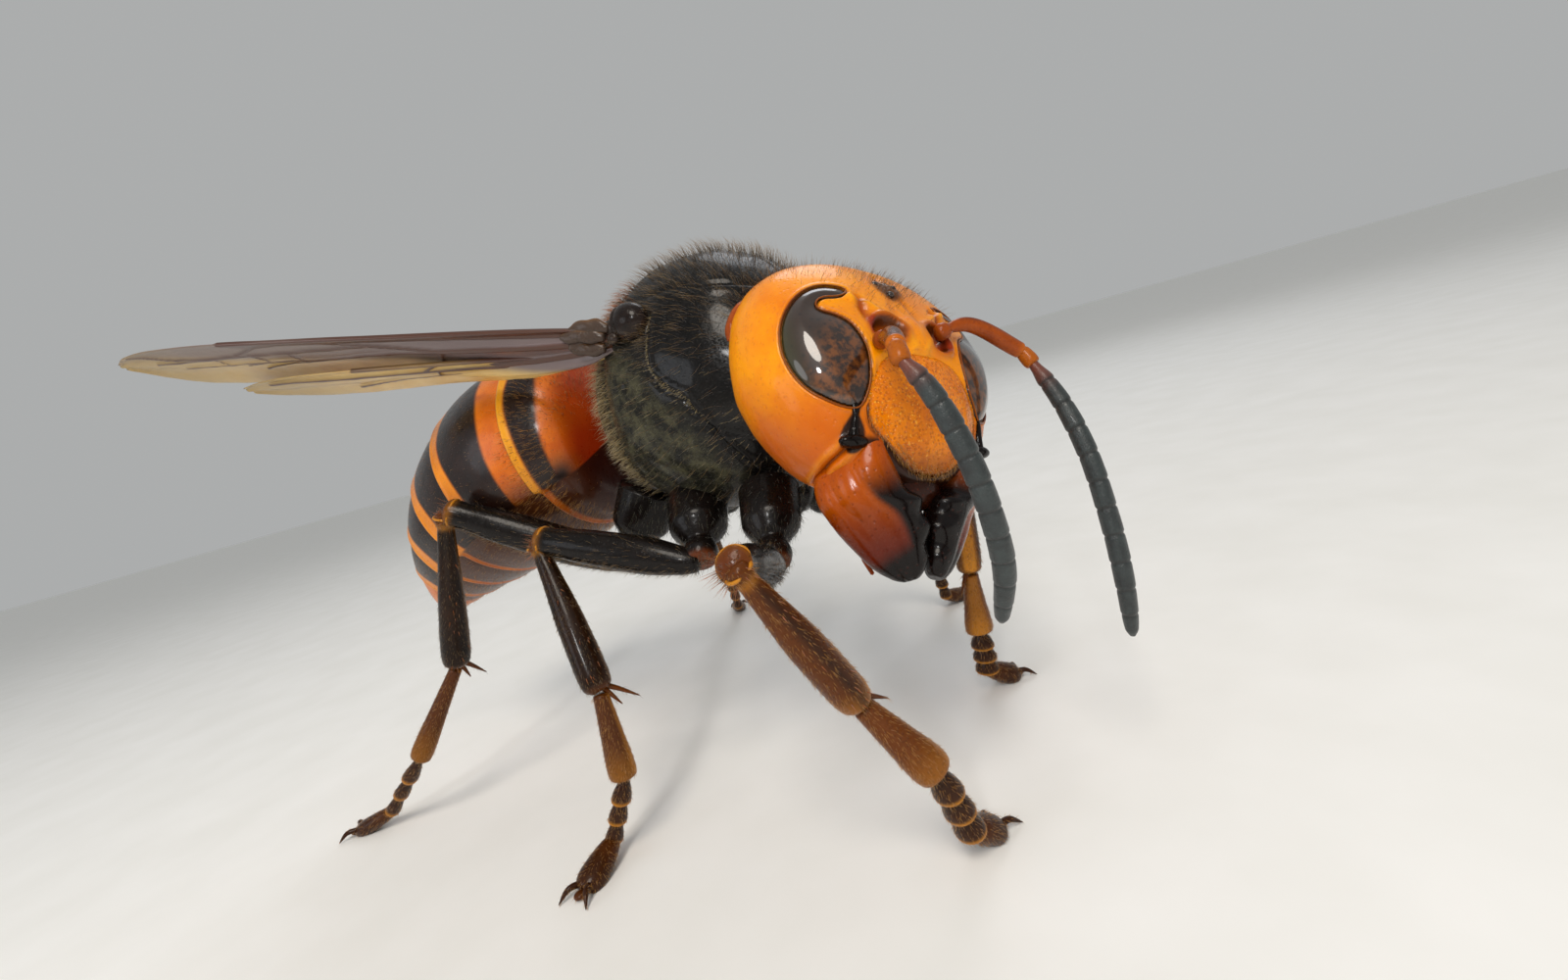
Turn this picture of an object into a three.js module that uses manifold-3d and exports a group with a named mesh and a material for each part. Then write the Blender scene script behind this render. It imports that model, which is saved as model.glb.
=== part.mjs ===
// Asian giant hornet, female, life size, standing still with its head nodded and turned to its right.
// Millimetres, +Z up. The floor is z = 0, and the six feet rest on it with small flats.
// The body frame has its origin in the middle of the thorax: x forward, y to the hornet's left, z up.
import * as THREE from 'three';
import { mergeVertices } from 'three/addons/utils/BufferGeometryUtils.js';
import Module from 'manifold-3d';

const wasm = await Module();
wasm.setup();

// Driving dimensions of the whole animal
const gap = 0.3; // clearance between touching pieces
const bodyHeight = 18.45; // middle of the thorax above the floor
const bodyPitch = 10.4; // nose down, degrees
const bodyRoll = -7.2; // left side low, degrees
const originShift = new THREE.Vector3(5.23, -1.32, 0); // puts the middle of the footprint at the origin

// Head: rows of height, front, rear and half width
const headProfile = [
  [4.85, 0.2, 0.2, 0],
  [4.6, 0.95, -1.2, 2.2],
  [4.1, 1.55, -2.0, 3.5],
  [3.3, 2.3, -2.6, 4.35],
  [2.2, 3.1, -2.95, 4.85],
  [1.0, 3.7, -3.05, 5.0],
  [-0.3, 4.05, -2.9, 4.92],
  [-1.5, 4.2, -2.4, 4.55],
  [-2.6, 4.2, -1.6, 3.95],
  [-3.5, 4.05, -0.6, 3.2],
  [-4.0, 3.5, 0.5, 2.2],
  [-4.2, 2.0, 2.0, 0],
];
const headOrigin = new THREE.Vector3(8.02, -0.94, -0.43);
const headTurn = { yaw: -17, pitch: -12.9, roll: -9.9 };
const antennaSocket = { x: 3.7, y: 1.12, z: 1.35, radius: 0.72 };
// Eye and clypeus outlines in their own planes: across and up
const eyeOutline = [
  [-0.16, 2.98], [0.28, 2.95], [0.66, 2.74], [0.45, 2.5], [0.05, 2.36], [-0.1, 2.08], [0.02, 1.82],
  [0.41, 1.7], [0.83, 1.45], [1.18, 1.0], [1.42, 0.43], [1.52, -0.32], [1.45, -0.99], [1.2, -1.5],
  [0.81, -1.5], [0.26, -1.25], [-0.28, -0.89], [-0.76, -0.31], [-1.08, 0.38], [-1.18, 1.15],
  [-1.07, 1.85], [-0.78, 2.5], [-0.48, 2.84],
];
const eyeAcross = [0.816, 0.578]; // the eye looks out at right angles to this direction
const clypeusOutline = [
  [0.8, 0.45], [1.55, 0.15], [2.15, -0.62], [2.4, -1.5], [2.3, -2.15], [1.75, -2.75], [1.35, -3.2],
  [0.8, -3.6], [0, -3.75],
];
// Each lower corner of the head is cut flat for the mandible: a point on the cut and its outward direction
const jawCut = { at: [3.3, 2.6, -2.75], facing: [0.56, 0.47, -0.68] };
const mandibleRows = [
  [0.95, 3.0, -3.1, 3.75, 1.7, -2.2, 0.7],
  [0.9, 3.25, -3.8, 4.0, 1.75, -3.2, 0.85],
  [1.15, 3.3, -4.5, 4.05, 1.25, -4.05, 0.85],
  [1.6, 3.0, -5.2, 4.05, 0.5, -4.6, 0.85],
  [2.1, 2.45, -6.0, 4.0, 0.22, -5.3, 0.8],
  [2.6, 1.6, -6.75, 3.9, 0.2, -6.2, 0.6],
  [3.1, 0.8, -7.15, 3.75, 0.25, -6.95, 0.35],
]; // outer edge, inner edge and half thickness from base to tip, for the left mandible

// Thorax: rows of x, top, bottom and half width
const thoraxProfile = [
  [6.6, 0.2, 0.2, 0],
  [6.3, 1.7, -1.3, 1.7],
  [5.6, 3.0, -3.0, 2.9],
  [4.4, 4.45, -4.3, 3.9],
  [2.8, 5.5, -5.1, 4.65],
  [0.8, 6.0, -5.5, 5.1],
  [-1.2, 5.85, -5.4, 5.05],
  [-2.9, 5.0, -4.9, 4.5],
  [-4.4, 3.9, -4.2, 3.8],
  [-5.6, 2.4, -3.3, 2.9],
  [-6.3, 0.7, -2.5, 1.7],
  [-6.6, -1.0, -1.0, 0],
];

// Abdomen: arc length along its axis and half width; the axis bends down and to the hornet's right
const abdomen = {
  base: new THREE.Vector3(-6.25, 0, -1.2),
  yaw: 17,
  pitch: 15.8,
  bend: 2.56,
  bendStart: 2,
  flatness: 0.96,
};
const abdomenProfile = [
  [0, 0.75],
  [0.7, 0.95],
  [1.2, 2.6],
  [1.9, 4.3],
  [2.9, 5.0],
  [4.3, 5.4],
  [6.8, 5.65],
  [9.3, 5.45],
  [12.6, 4.75],
  [15.4, 3.8],
  [17.8, 2.6],
  [19.8, 1.2],
  [20.8, 0.25],
];
const abdomenJoints = [0.15, 4.3, 9.3, 12.6, 15.4, 17.8, 20.8];

// Wings: share of the length, leading edge and trailing edge; veins run along the rows of veinRows
const wing = { thickness: 0.5, ridge: 0.12 };
const forewing = {
  hinge: [-1.3, 4.95, 2.45],
  length: 28.1,
  splay: 29,
  rise: 1.7,
  fold: -18,
  outline: [[0, -0.1, 0.5], [0.05, -0.25, 0.8], [0.2, -0.4, 2.2], [0.45, -0.5, 3.5], [0.7, -0.35, 4.1],
    [0.86, 0.1, 3.9], [0.95, 0.8, 3.1], [1, 1.6, 2.1]],
  veins: [0.07, 0.2, 0.42, 0.66],
};
const hindwing = {
  hinge: [-2.3, 4.75, 1.3],
  length: 21,
  splay: 28.5,
  rise: 1.0,
  fold: -17,
  outline: [[0, 0.1, 0.5], [0.06, 0.1, 0.9], [0.25, 0.2, 2.1], [0.55, 0.2, 3.2], [0.78, 0.4, 3.5],
    [0.92, 1.0, 3.1], [1, 1.7, 2.4]],
  veins: [0.1, 0.4, 0.7],
};

// Legs: coxa root in the body frame, then the joints above the floor, front, middle and hind
const legs = {
  front_right: {
    root: [4.4, -2.0, -4.3],
    joints: [[5.3, -5.1, 11.3], [8.7, -10.1, 13.2], [9.55, -7.3, 7.25], [10.7, -5.8, 4.05],
      [10.7, -4.8, 1.2], [10.7, -3.3, 0.12]],
  },
  middle_right: {
    root: [0.4, -2.4, -4.9],
    joints: [[1.4, -5.3, 11.65], [-5.5, -8.3, 14.2], [-2.7, -9.2, 7.5], [-2.7, -9.4, 3.55],
      [-3.95, -10.1, 0.86], [-3.4, -12.3, 0.12]],
  },
  hind_right: {
    root: [-3.0, -2.2, -4.6],
    joints: [[-5.6, -4.0, 11.4], [-11.9, -9.05, 16.4], [-14.6, -10.1, 8.3], [-17.2, -12.6, 3.9],
      [-20.5, -13.8, 1.0], [-22.6, -15.2, 0.12]],
  },
  front_left: {
    root: [4.4, 2.0, -4.3],
    joints: [[4.9, 3.9, 11.0], [7.5, 6.5, 13.1], [6.7, 6.45, 6.4], [6.5, 6.35, 3.2],
      [6.3, 6.55, 1.1], [7.0, 7.95, 0.12]],
  },
  middle_left: {
    root: [0.4, 2.4, -4.9],
    joints: [[0.4, 5.0, 11.2], [-2.5, 11.8, 14.0], [-1.4, 14.2, 7.3], [-0.9, 15.6, 3.7],
      [-1.3, 16.6, 0.9], [-1.0, 18.6, 0.12]],
  },
  hind_left: {
    root: [-3.0, 2.2, -4.6],
    joints: [[-6.5, 4.3, 12.0], [-12.6, 8.8, 17.3], [-16.6, 11.0, 8.8], [-18.2, 12.8, 4.0],
      [-20.3, 14.6, 0.9], [-21.8, 16.0, 0.12]],
  },
};
// Share of the length, half width and half depth of each length of a leg, and its size by leg pair
const legSize = { front: 0.94, middle: 1.0, hind: 1.1 };
const coxaRows = [[0, 1.35, 1.35], [0.45, 1.25, 1.25], [0.62, 0.85, 0.85], [0.7, 0.62, 0.62],
  [0.85, 0.75, 0.75], [1, 0.6, 0.6]];
const femurRows = [[0, 0.42, 0.42], [0.12, 0.6, 0.62], [0.35, 0.72, 0.82], [0.7, 0.68, 0.76],
  [0.9, 0.56, 0.62], [0.97, 0.6, 0.62], [1, 0.35, 0.35]];
const tibiaRows = [[0, 0.3, 0.3], [0.06, 0.42, 0.42], [0.16, 0.4, 0.42], [0.6, 0.58, 0.66],
  [0.9, 0.6, 0.66], [1, 0.42, 0.45]];
const spur = { length: 1.5, radius: 0.17 };
const basitarsusRows = [[0, 0.28, 0.28], [0.12, 0.42, 0.44], [0.5, 0.42, 0.48], [0.9, 0.48, 0.5],
  [1, 0.3, 0.3]];
const footRows = [[0, 0.22, 0.22], [0.35, 0.45, 0.36], [0.75, 0.55, 0.42], [1, 0.3, 0.26]];
// Half widths of the second to fourth tarsus joints, and the size of the last joint
const tarsusWidth = { front: [0.48, 0.52, 0.54], middle: [0.38, 0.36, 0.34], hind: [0.4, 0.38, 0.36] };
const footSize = { front: 1.25, middle: 1.1, hind: 1.0 };
const claw = { length: 0.95, radius: 0.15, spread: 0.55 };

// Feelers, from the head outwards above the floor
const antennae = {
  right: {
    scape: [[11.04, -3.17, 18.29], [12.25, -4.5, 18.3], [13.15, -5.85, 17.95]],
    flagellum: [[13.3, -6.05, 17.6], [13.92, -5.96, 16.47], [14.44, -5.83, 14.68], [14.62, -5.6, 12.89],
      [14.43, -5.19, 10.98], [13.7, -4.73, 9.07]],
  },
  left: {
    scape: [[11.45, -0.22, 18.02], [12.1, 1.0, 18.05], [13.2, 2.6, 16.55]],
    flagellum: [[13.45, 2.55, 16.15], [14.32, 2.29, 14.47], [14.96, 1.96, 12.58], [15.3, 1.7, 10.2],
      [15.45, 1.42, 7.8], [15.28, 1.58, 5.66]],
  },
};
const feeler = { radius: 0.44, pieces: 11 };

// Colours
const colours = {
  orange: '#e08a1a', deepOrange: '#b4560f', eye: '#3b2416', black: '#1b1814', brown: '#3c2014',
  yellow: '#dca02a', slate: '#39403d', wing: '#6f5a48', rust: '#8a3c14',
};

// A smooth curve through the rows of a table, which never overshoots them
function rowAt(table, x) {
  const rising = table[table.length - 1][0] > table[0][0];
  const rows = rising ? table : [...table].reverse();
  const last = rows.length - 1;
  const at = Math.min(Math.max(x, rows[0][0]), rows[last][0]);
  let i = 0;
  while (i < last - 1 && at > rows[i + 1][0]) i += 1;
  const h = rows[i + 1][0] - rows[i][0];
  const t = (at - rows[i][0]) / h;
  const slope = (k, column) => {
    if (k === 0 || k === last) return null;
    const before = (rows[k][column] - rows[k - 1][column]) / (rows[k][0] - rows[k - 1][0]);
    const after = (rows[k + 1][column] - rows[k][column]) / (rows[k + 1][0] - rows[k][0]);
    return before * after <= 0 ? 0 : (2 * before * after) / (before + after);
  };
  return rows[i].slice(1).map((low, k) => {
    const column = k + 1;
    const high = rows[i + 1][column];
    const chord = (high - low) / h;
    const m0 = slope(i, column) ?? chord;
    const m1 = slope(i + 1, column) ?? chord;
    const t2 = t * t;
    const t3 = t2 * t;
    return (2 * t3 - 3 * t2 + 1) * low + (t3 - 2 * t2 + t) * h * m0
      + (3 * t2 - 2 * t3) * high + (t3 - t2) * h * m1;
  });
}

// Solids: a geometry with merged vertices, no flat triangles and its faces pointing out
function solid(geometry) {
  const bare = geometry.clone();
  bare.deleteAttribute('normal');
  bare.deleteAttribute('uv');
  const merged = mergeVertices(bare, 1e-4);
  const index = merged.index.array;
  const kept = [];
  for (let i = 0; i < index.length; i += 3) {
    const [a, b, c] = [index[i], index[i + 1], index[i + 2]];
    if (a !== b && b !== c && c !== a) kept.push(a, b, c);
  }
  const vertProperties = new Float32Array(merged.attributes.position.array);
  const build = (triVerts) => new wasm.Manifold(new wasm.Mesh({ numProp: 3, vertProperties, triVerts }));
  const made = build(new Uint32Array(kept));
  if (made.volume() > 0) return made;
  const turned = [];
  for (let i = 0; i < kept.length; i += 3) turned.push(kept[i], kept[i + 2], kept[i + 1]);
  return build(new Uint32Array(turned));
}

function largest(piece) {
  const bodies = piece.decompose();
  return bodies.reduce((best, body) => (body.volume() > best.volume() ? body : best));
}

function geometryOf(piece) {
  const mesh = largest(piece).getMesh();
  const position = new Float32Array(mesh.numVert * 3);
  for (let i = 0; i < mesh.numVert; i += 1) {
    position.set(mesh.vertProperties.subarray(i * mesh.numProp, i * mesh.numProp + 3), i * 3);
  }
  const geometry = new THREE.BufferGeometry();
  geometry.setAttribute('position', new THREE.BufferAttribute(position, 3));
  geometry.setIndex(new THREE.BufferAttribute(new Uint32Array(mesh.triVerts), 1));
  geometry.computeVertexNormals();
  return geometry;
}

// A closed skin over rings: ringAt(t) gives a centre, two half axes, a squareness and a height factor
function loft(ringAt, rings, sides, stations = null) {
  const geometry = new THREE.CylinderGeometry(1, 1, 1, sides, rings, false);
  const position = geometry.attributes.position;
  const made = [];
  for (let i = 0; i <= rings; i += 1) made.push(ringAt(stations ? stations[i] : i / rings));
  const point = new THREE.Vector3();
  for (let i = 0; i < position.count; i += 1) {
    const ring = made[Math.round((0.5 - position.getY(i)) * rings)];
    const across = position.getX(i);
    const up = position.getZ(i);
    const power = 2 / (ring.square ?? 2);
    const swell = (value) => Math.sign(value) * Math.abs(value) ** power;
    point.copy(ring.centre);
    point.addScaledVector(ring.a, swell(across));
    point.addScaledVector(ring.b, swell(up));
    position.setXYZ(i, point.x, point.y, point.z);
  }
  return solid(geometry);
}

const vec = (x, y, z) => new THREE.Vector3(x, y, z);
const evenEnds = (t) => (1 - Math.cos(Math.PI * t)) / 2; // closer rings at both ends

function headSolid(grow = 0, rings = 15, sides = 24) {
  const top = headProfile[0][0];
  const bottom = headProfile[headProfile.length - 1][0];
  return loft((t) => {
    const z = top + (bottom - top) * evenEnds(t);
    const [front, rear, half] = rowAt(headProfile, z);
    const reach = t === 0 || t === 1 ? 0 : grow;
    return {
      centre: vec((front + rear) / 2, 0, z + grow * (1 - 2 * evenEnds(t))),
      a: vec(0, half + reach, 0),
      b: vec((front - rear) / 2 + reach, 0, 0),
      square: 2.4,
    };
  }, rings, sides);
}

function thoraxSolid(grow = 0, rings = 15, sides = 24) {
  const front = thoraxProfile[0][0];
  const rear = thoraxProfile[thoraxProfile.length - 1][0];
  return loft((t) => {
    const x = front + (rear - front) * evenEnds(t);
    const [top, bottom, half] = rowAt(thoraxProfile, x);
    const reach = t === 0 || t === 1 ? 0 : grow;
    return {
      centre: vec(x + grow * (1 - 2 * evenEnds(t)), 0, (top + bottom) / 2),
      a: vec(0, half + reach, 0),
      b: vec(0, 0, (top - bottom) / 2 + reach),
      square: 2.15,
    };
  }, rings, sides);
}

// A prism over an outline given in its own plane, from near to far along its axis
function prism(outline, origin, across, up, near, far) {
  const shape = new THREE.Shape(outline.map(([u, v]) => new THREE.Vector2(u, v)));
  const geometry = new THREE.ExtrudeGeometry(shape, { depth: far - near, bevelEnabled: false, steps: 1 });
  const axis = new THREE.Vector3().crossVectors(across, up).normalize();
  const frame = new THREE.Matrix4().makeBasis(across, up, axis);
  frame.setPosition(origin.clone().addScaledVector(axis, near));
  geometry.applyMatrix4(frame);
  return solid(geometry);
}

// The outline pushed out by a distance, point by point
function grownOutline(outline, distance) {
  const turn = outline.reduce((sum, [x, y], i) => {
    const [nx, ny] = outline[(i + 1) % outline.length];
    return sum + x * ny - nx * y;
  }, 0) > 0 ? 1 : -1;
  return outline.map(([x, y], i) => {
    const [px, py] = outline[(i + outline.length - 1) % outline.length];
    const [nx, ny] = outline[(i + 1) % outline.length];
    const length = Math.hypot(nx - px, ny - py);
    return [x + (turn * distance * (ny - py)) / length, y - (turn * distance * (nx - px)) / length];
  });
}

const floorBox = solid(new THREE.BoxGeometry(200, 200, 20).translate(0, 0, -10));

// A limb along a curve: rows of share, half width and half depth, with an optional margin all round
function limb(points, rows, sides, grow = 0) {
  const path = points.length === 2
    ? new THREE.LineCurve3(points[0], points[1]) : new THREE.CatmullRomCurve3(points);
  const reference = vec(0.13, 0.21, 1).normalize();
  return loft((t) => {
    const centre = path.getPointAt(t);
    const along = path.getTangentAt(t);
    if (t === 0 || t === 1) centre.addScaledVector(along, t === 0 ? -grow : grow);
    const [half, deep] = rowAt(rows, t);
    const a = new THREE.Vector3().crossVectors(along, reference).normalize();
    const b = new THREE.Vector3().crossVectors(a, along).normalize();
    return { centre, a: a.multiplyScalar(half + grow), b: b.multiplyScalar(deep + grow) };
  }, rows.length - 1, sides, rows.map((row) => row[0]));
}
const points3 = (list) => list.map(([x, y, z]) => vec(x, y, z));

const group = new THREE.Group();
group.position.copy(originShift);
const turn = (axis, degrees) => new THREE.Matrix4().makeRotationAxis(axis, THREE.MathUtils.degToRad(degrees));
const body = turn(vec(0, 1, 0), bodyPitch).multiply(turn(vec(1, 0, 0), bodyRoll));
body.setPosition(0, 0, bodyHeight);
const headTurned = turn(vec(0, 0, 1), headTurn.yaw).multiply(turn(vec(0, 1, 0), headTurn.pitch));
headTurned.multiply(turn(vec(1, 0, 0), headTurn.roll)).setPosition(headOrigin);
const headToFloor = body.clone().multiply(headTurned);

function placed(piece, matrix) {
  const geometry = geometryOf(piece);
  geometry.applyMatrix4(matrix);
  return solid(geometry);
}

function addNode(name, piece, colour, roughness = 0.4) {
  const material = new THREE.MeshStandardMaterial({ color: colour, roughness, metalness: 0 });
  const mesh = new THREE.Mesh(geometryOf(piece), material);
  mesh.name = name;
  group.add(mesh);
}
const bothSides = [['right', -1], ['left', 1]];

// Head with its eye sockets, clypeus bed, feeler sockets and the hollow at the back
function sided(build, side) {
  const geometry = geometryOf(build);
  if (side > 0) geometry.applyMatrix4(new THREE.Matrix4().makeScale(1, -1, 1));
  return solid(geometry);
}
const ball = (x, y, z, a, b, c, sides = 14, rings = 9) => (
  solid(new THREE.SphereGeometry(1, sides, rings).scale(a, b, c).translate(x, y, z)));
function eyePrism(outline) {
  const across = vec(eyeAcross[0], eyeAcross[1], 0);
  return prism(outline, vec(0.4, 0, 0), across, vec(0, 0, 1), 1.5, 8);
}
function clypeusPrism(distance) {
  const half = clypeusOutline.slice(0, -1);
  const outline = [...half, clypeusOutline[half.length], ...half.map(([y, z]) => [-y, z]).reverse()];
  const shape = distance ? grownOutline(outline, distance) : outline;
  return prism(shape, vec(0, 0, 0), vec(0, 1, 0), vec(0, 0, 1), 1.2, 7);
}
const headGrown = () => trimmedHead(gap);
const hollow = (grow) => ball(-3.6, 0, 0.4, 1.9 + grow, 2.7 + grow, 2.4 + grow, 16, 10);
const eyeFloor = headSolid(-1.2, 10, 16);
// The head without its lower corners, moved out by a margin
function trimmedHead(grow) {
  let shape = headSolid(grow);
  for (const [, side] of bothSides) {
    const facing = vec(jawCut.facing[0], jawCut.facing[1] * side, jawCut.facing[2]).normalize();
    const reach = vec(jawCut.at[0], jawCut.at[1] * side, jawCut.at[2]).dot(facing);
    shape = shape.trimByPlane([-facing.x, -facing.y, -facing.z], -reach - grow);
  }
  return shape;
}
let skull = trimmedHead(0);
for (const [, side] of bothSides) {
  skull = skull.subtract(sided(eyePrism(grownOutline(eyeOutline, gap)), side).subtract(eyeFloor));
}
skull = skull.subtract(clypeusPrism(gap).subtract(headSolid(-1.0, 10, 16)));
skull = skull.add(ball(3.15, 0, 1.75, 0.75, 0.6, 1.5, 10, 8)).subtract(hollow(0));
for (const [, side] of bothSides) {
  const { x, y, z, radius } = antennaSocket;
  skull = skull.subtract(ball(x, y * side, z, radius, radius, radius, 12, 8));
}
const thoraxWhole = thoraxSolid();
const thoraxClear = thoraxSolid(gap);
const thoraxGrown = placed(thoraxClear, body);

// Feelers: the scape sits in its socket, and the flagellum's pieces swell towards their ends
const feelers = {};
for (const [name] of bothSides) {
  const feel = antennae[name];
  const scapeRows = [[0, 0.3, 0.3], [0.08, 0.42, 0.42], [0.16, 0.26, 0.26], [0.3, 0.34, 0.34],
    [0.75, 0.4, 0.4], [0.96, 0.36, 0.36], [1, 0.24, 0.24]];
  const scape = limb(points3(feel.scape), scapeRows, 8);
  const rows = [];
  for (let i = 0; i < feeler.pieces; i += 1) {
    const thin = i === 0 ? 0.62 : 1 - 0.12 * Math.max(0, 3 - i) / 3;
    const at = i / feeler.pieces;
    const taper = at < 0.7 ? 1 : 1 - ((at - 0.7) / 0.3) * 0.35;
    const r = feeler.radius * thin * taper;
    rows.push([at, r * 0.84, r * 0.84], [at + 0.7 / feeler.pieces, r, r]);
  }
  rows.push([1, 0.1, 0.1]);
  const scapeClear = limb(points3(feel.scape), scapeRows, 8, gap);
  addNode('scape_' + name, scape, colours.rust);
  addNode('flagellum_' + name, limb(points3(feel.flagellum), rows, 8).subtract(scapeClear), colours.slate);
  feelers[name] = scapeClear;
}
const headPlaced = placed(skull, headToFloor).subtract(thoraxGrown);
addNode('head', headPlaced.subtract(feelers.right).subtract(feelers.left), colours.orange);
for (const [name, side] of bothSides) {
  const lens = eyePrism(eyeOutline).intersect(headSolid(0.22)).subtract(headSolid(-0.9, 10, 16));
  addNode('eye_' + name, placed(sided(lens, side), headToFloor), colours.eye, 0.15);
}
let clypeus = clypeusPrism(0).intersect(headSolid(0.15)).subtract(headSolid(-0.7, 10, 16));
for (const [, side] of bothSides) {
  clypeus = clypeus.subtract(sided(eyePrism(grownOutline(eyeOutline, gap)), side));
}
addNode('clypeus', placed(clypeus, headToFloor), colours.orange);

// Mandibles close below the clypeus, and the folded mouthparts lie behind them
const clypeusClear = clypeusPrism(gap).intersect(headSolid(0.5));
for (const [name, side] of bothSides) {
  const rings = mandibleRows.map(([ox, oy, oz, ix, iy, iz, depth]) => {
    const outer = vec(ox, oy * side, oz);
    const inner = vec(ix, iy * side, iz);
    const a = inner.clone().sub(outer).multiplyScalar(0.5);
    const b = new THREE.Vector3().crossVectors(a, vec(0.2, -0.5 * side, -1)).normalize();
    b.multiplyScalar(depth);
    return { centre: outer.add(inner).multiplyScalar(0.5), a, b };
  });
  const piece = loft((t) => rings[Math.round(t * (rings.length - 1))], rings.length - 1, 14)
    .subtract(headGrown()).subtract(clypeusClear);
  addNode('mandible_' + name, placed(piece, headToFloor), colours.deepOrange);
}
const tongue = loft((t) => ({
  centre: vec(0.9 + 0.4 * t, 0, -3.3 - 2.2 * t),
  a: vec(0, 1.0 - 0.6 * t, 0),
  b: vec(0.55 - 0.25 * t, 0, 0),
}), 5, 10).subtract(headGrown());
addNode('mouthparts', placed(tongue, headToFloor), colours.rust);

// Thorax, parted by thin cuts: the pronotum is a collar round the front of the scutum
function scutumCutter(grow) {
  const shape = new THREE.CylinderGeometry(1, 1, 9, 24);
  shape.rotateX(Math.PI / 2);
  shape.scale(5.3 + grow, 4.05 + grow, 1);
  shape.translate(-0.4, 0, 4.5 - grow);
  return solid(shape);
}
const sideLine = [[0.7, 9], [0.75, 3.2], [1.4, 1.5], [1.7, 0.3], [2.6, -0.7], [3.5, -1.9], [4.3, -3.0],
  [4.8, -4.2], [5.0, -9]];
const rearLine = [[-3.7, 9], [-3.6, 3.4], [-2.7, 0.6], [-2.3, -2], [-2.1, -9]];
function sideRegion(line, grow) {
  const edge = line.map(([x, z]) => [x + grow, z]);
  const outline = [...edge, [-30, -9], [-30, 9]];
  return prism(outline, vec(0, 0, 0), vec(1, 0, 0), vec(0, 0, 1), -12, 12);
}
const behindPronotum = (grow) => scutumCutter(grow).add(sideRegion(sideLine, grow));
const neck = loft((t) => ({
  centre: vec(5.5 + 2.6 * t, 0, -0.3), a: vec(0, 1.5 - 0.3 * t, 0), b: vec(0, 0, 1.5 - 0.3 * t),
}), 4, 12);
const neckPlaced = placed(neck, body).subtract(
  placed(headSolid(gap).subtract(hollow(-gap)), headToFloor));
const pronotum = placed(thoraxWhole.subtract(behindPronotum(gap)), body);
addNode('pronotum', pronotum.add(neckPlaced), colours.black);
const mesothorax = thoraxWhole.intersect(behindPronotum(0)).subtract(sideRegion(rearLine, gap));
const propodeum = thoraxWhole.intersect(sideRegion(rearLine, 0));
addNode('mesothorax', placed(mesothorax, body), colours.black);

// Abdomen: a ring at each arc length of its bending axis
function abdomenRing(s, grow = 0) {
  const steps = 40;
  const centre = abdomen.base.clone();
  const direction = vec(0, 0, 0);
  for (let i = 0; i < steps; i += 1) {
    const at = (s * (i + 0.5)) / steps;
    const bent = abdomen.bend * Math.max(0, at - abdomen.bendStart);
    const pitch = THREE.MathUtils.degToRad(abdomen.pitch + bent);
    const yaw = THREE.MathUtils.degToRad(abdomen.yaw);
    direction.set(-Math.cos(pitch) * Math.cos(yaw), -Math.cos(pitch) * Math.sin(yaw), -Math.sin(pitch));
    centre.addScaledVector(direction, s / steps);
  }
  const [half] = rowAt(abdomenProfile, s);
  const a = new THREE.Vector3().crossVectors(direction, vec(0, 0, 1)).normalize();
  const b = new THREE.Vector3().crossVectors(a, direction).normalize();
  return {
    centre,
    a: a.multiplyScalar(half + grow),
    b: b.multiplyScalar(half * abdomen.flatness + grow),
    square: 2.1,
  };
}
const stalk = loft((t) => abdomenRing(-0.5 + 3 * t, gap), 6, 16);
addNode('propodeum', placed(propodeum.subtract(stalk), body), colours.black);
const segmentRings = [8, 5, 4, 3, 3, 5];
for (let i = 0; i < abdomenJoints.length - 1; i += 1) {
  const from = abdomenJoints[i] + (i ? gap / 2 : 0);
  const to = abdomenJoints[i + 1] - gap / 2;
  const piece = loft((t) => abdomenRing(from + (to - from) * t), segmentRings[i], 22);
  const clear = i ? piece : piece.subtract(thoraxClear);
  addNode('abdomen_' + (i + 1), placed(clear, body), i % 2 ? colours.yellow : colours.brown);
}

// Tegulae and wings
function wingSolid(spec, side) {
  const columns = 10;
  const rows = [0];
  spec.veins.forEach((v) => rows.push(v - 0.045, v, v + 0.045));
  rows.push(0.85, 1);
  const geometry = new THREE.BoxGeometry(1, 1, 1, columns, rows.length - 1, 1);
  const splay = THREE.MathUtils.degToRad(spec.splay);
  const fold = THREE.MathUtils.degToRad(spec.fold);
  const rise = THREE.MathUtils.degToRad(spec.rise);
  const along = vec(-Math.cos(splay), side * Math.sin(splay), Math.tan(rise)).normalize();
  const level = vec(-Math.sin(splay), -side * Math.cos(splay), 0);
  const across = level.multiplyScalar(Math.cos(fold)).add(vec(0, 0, Math.sin(fold)));
  across.addScaledVector(along, -across.dot(along)).normalize();
  const normal = new THREE.Vector3().crossVectors(along, across).normalize();
  if (normal.z < 0) normal.negate();
  const hinge = vec(spec.hinge[0], spec.hinge[1] * side, spec.hinge[2]);
  const position = geometry.attributes.position;
  for (let i = 0; i < position.count; i += 1) {
    const u = position.getX(i) + 0.5;
    const row = Math.round((position.getY(i) + 0.5) * (rows.length - 1));
    const v = rows[row];
    const [lead, trail] = rowAt(spec.outline, u);
    const ridge = spec.veins.includes(v) ? wing.ridge * (1 - 0.5 * u) : 0;
    const edge = row === 0 || row === rows.length - 1 ? 0.6 : 1;
    const thick = (wing.thickness / 2) * edge * (u < 1 ? 1 : 0.7) + ridge;
    const point = hinge.clone().addScaledVector(along, u * spec.length);
    point.addScaledVector(across, lead + (trail - lead) * v);
    point.addScaledVector(normal, Math.sign(position.getZ(i)) * thick);
    position.setXYZ(i, point.x, point.y, point.z);
  }
  return solid(geometry);
}
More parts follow.
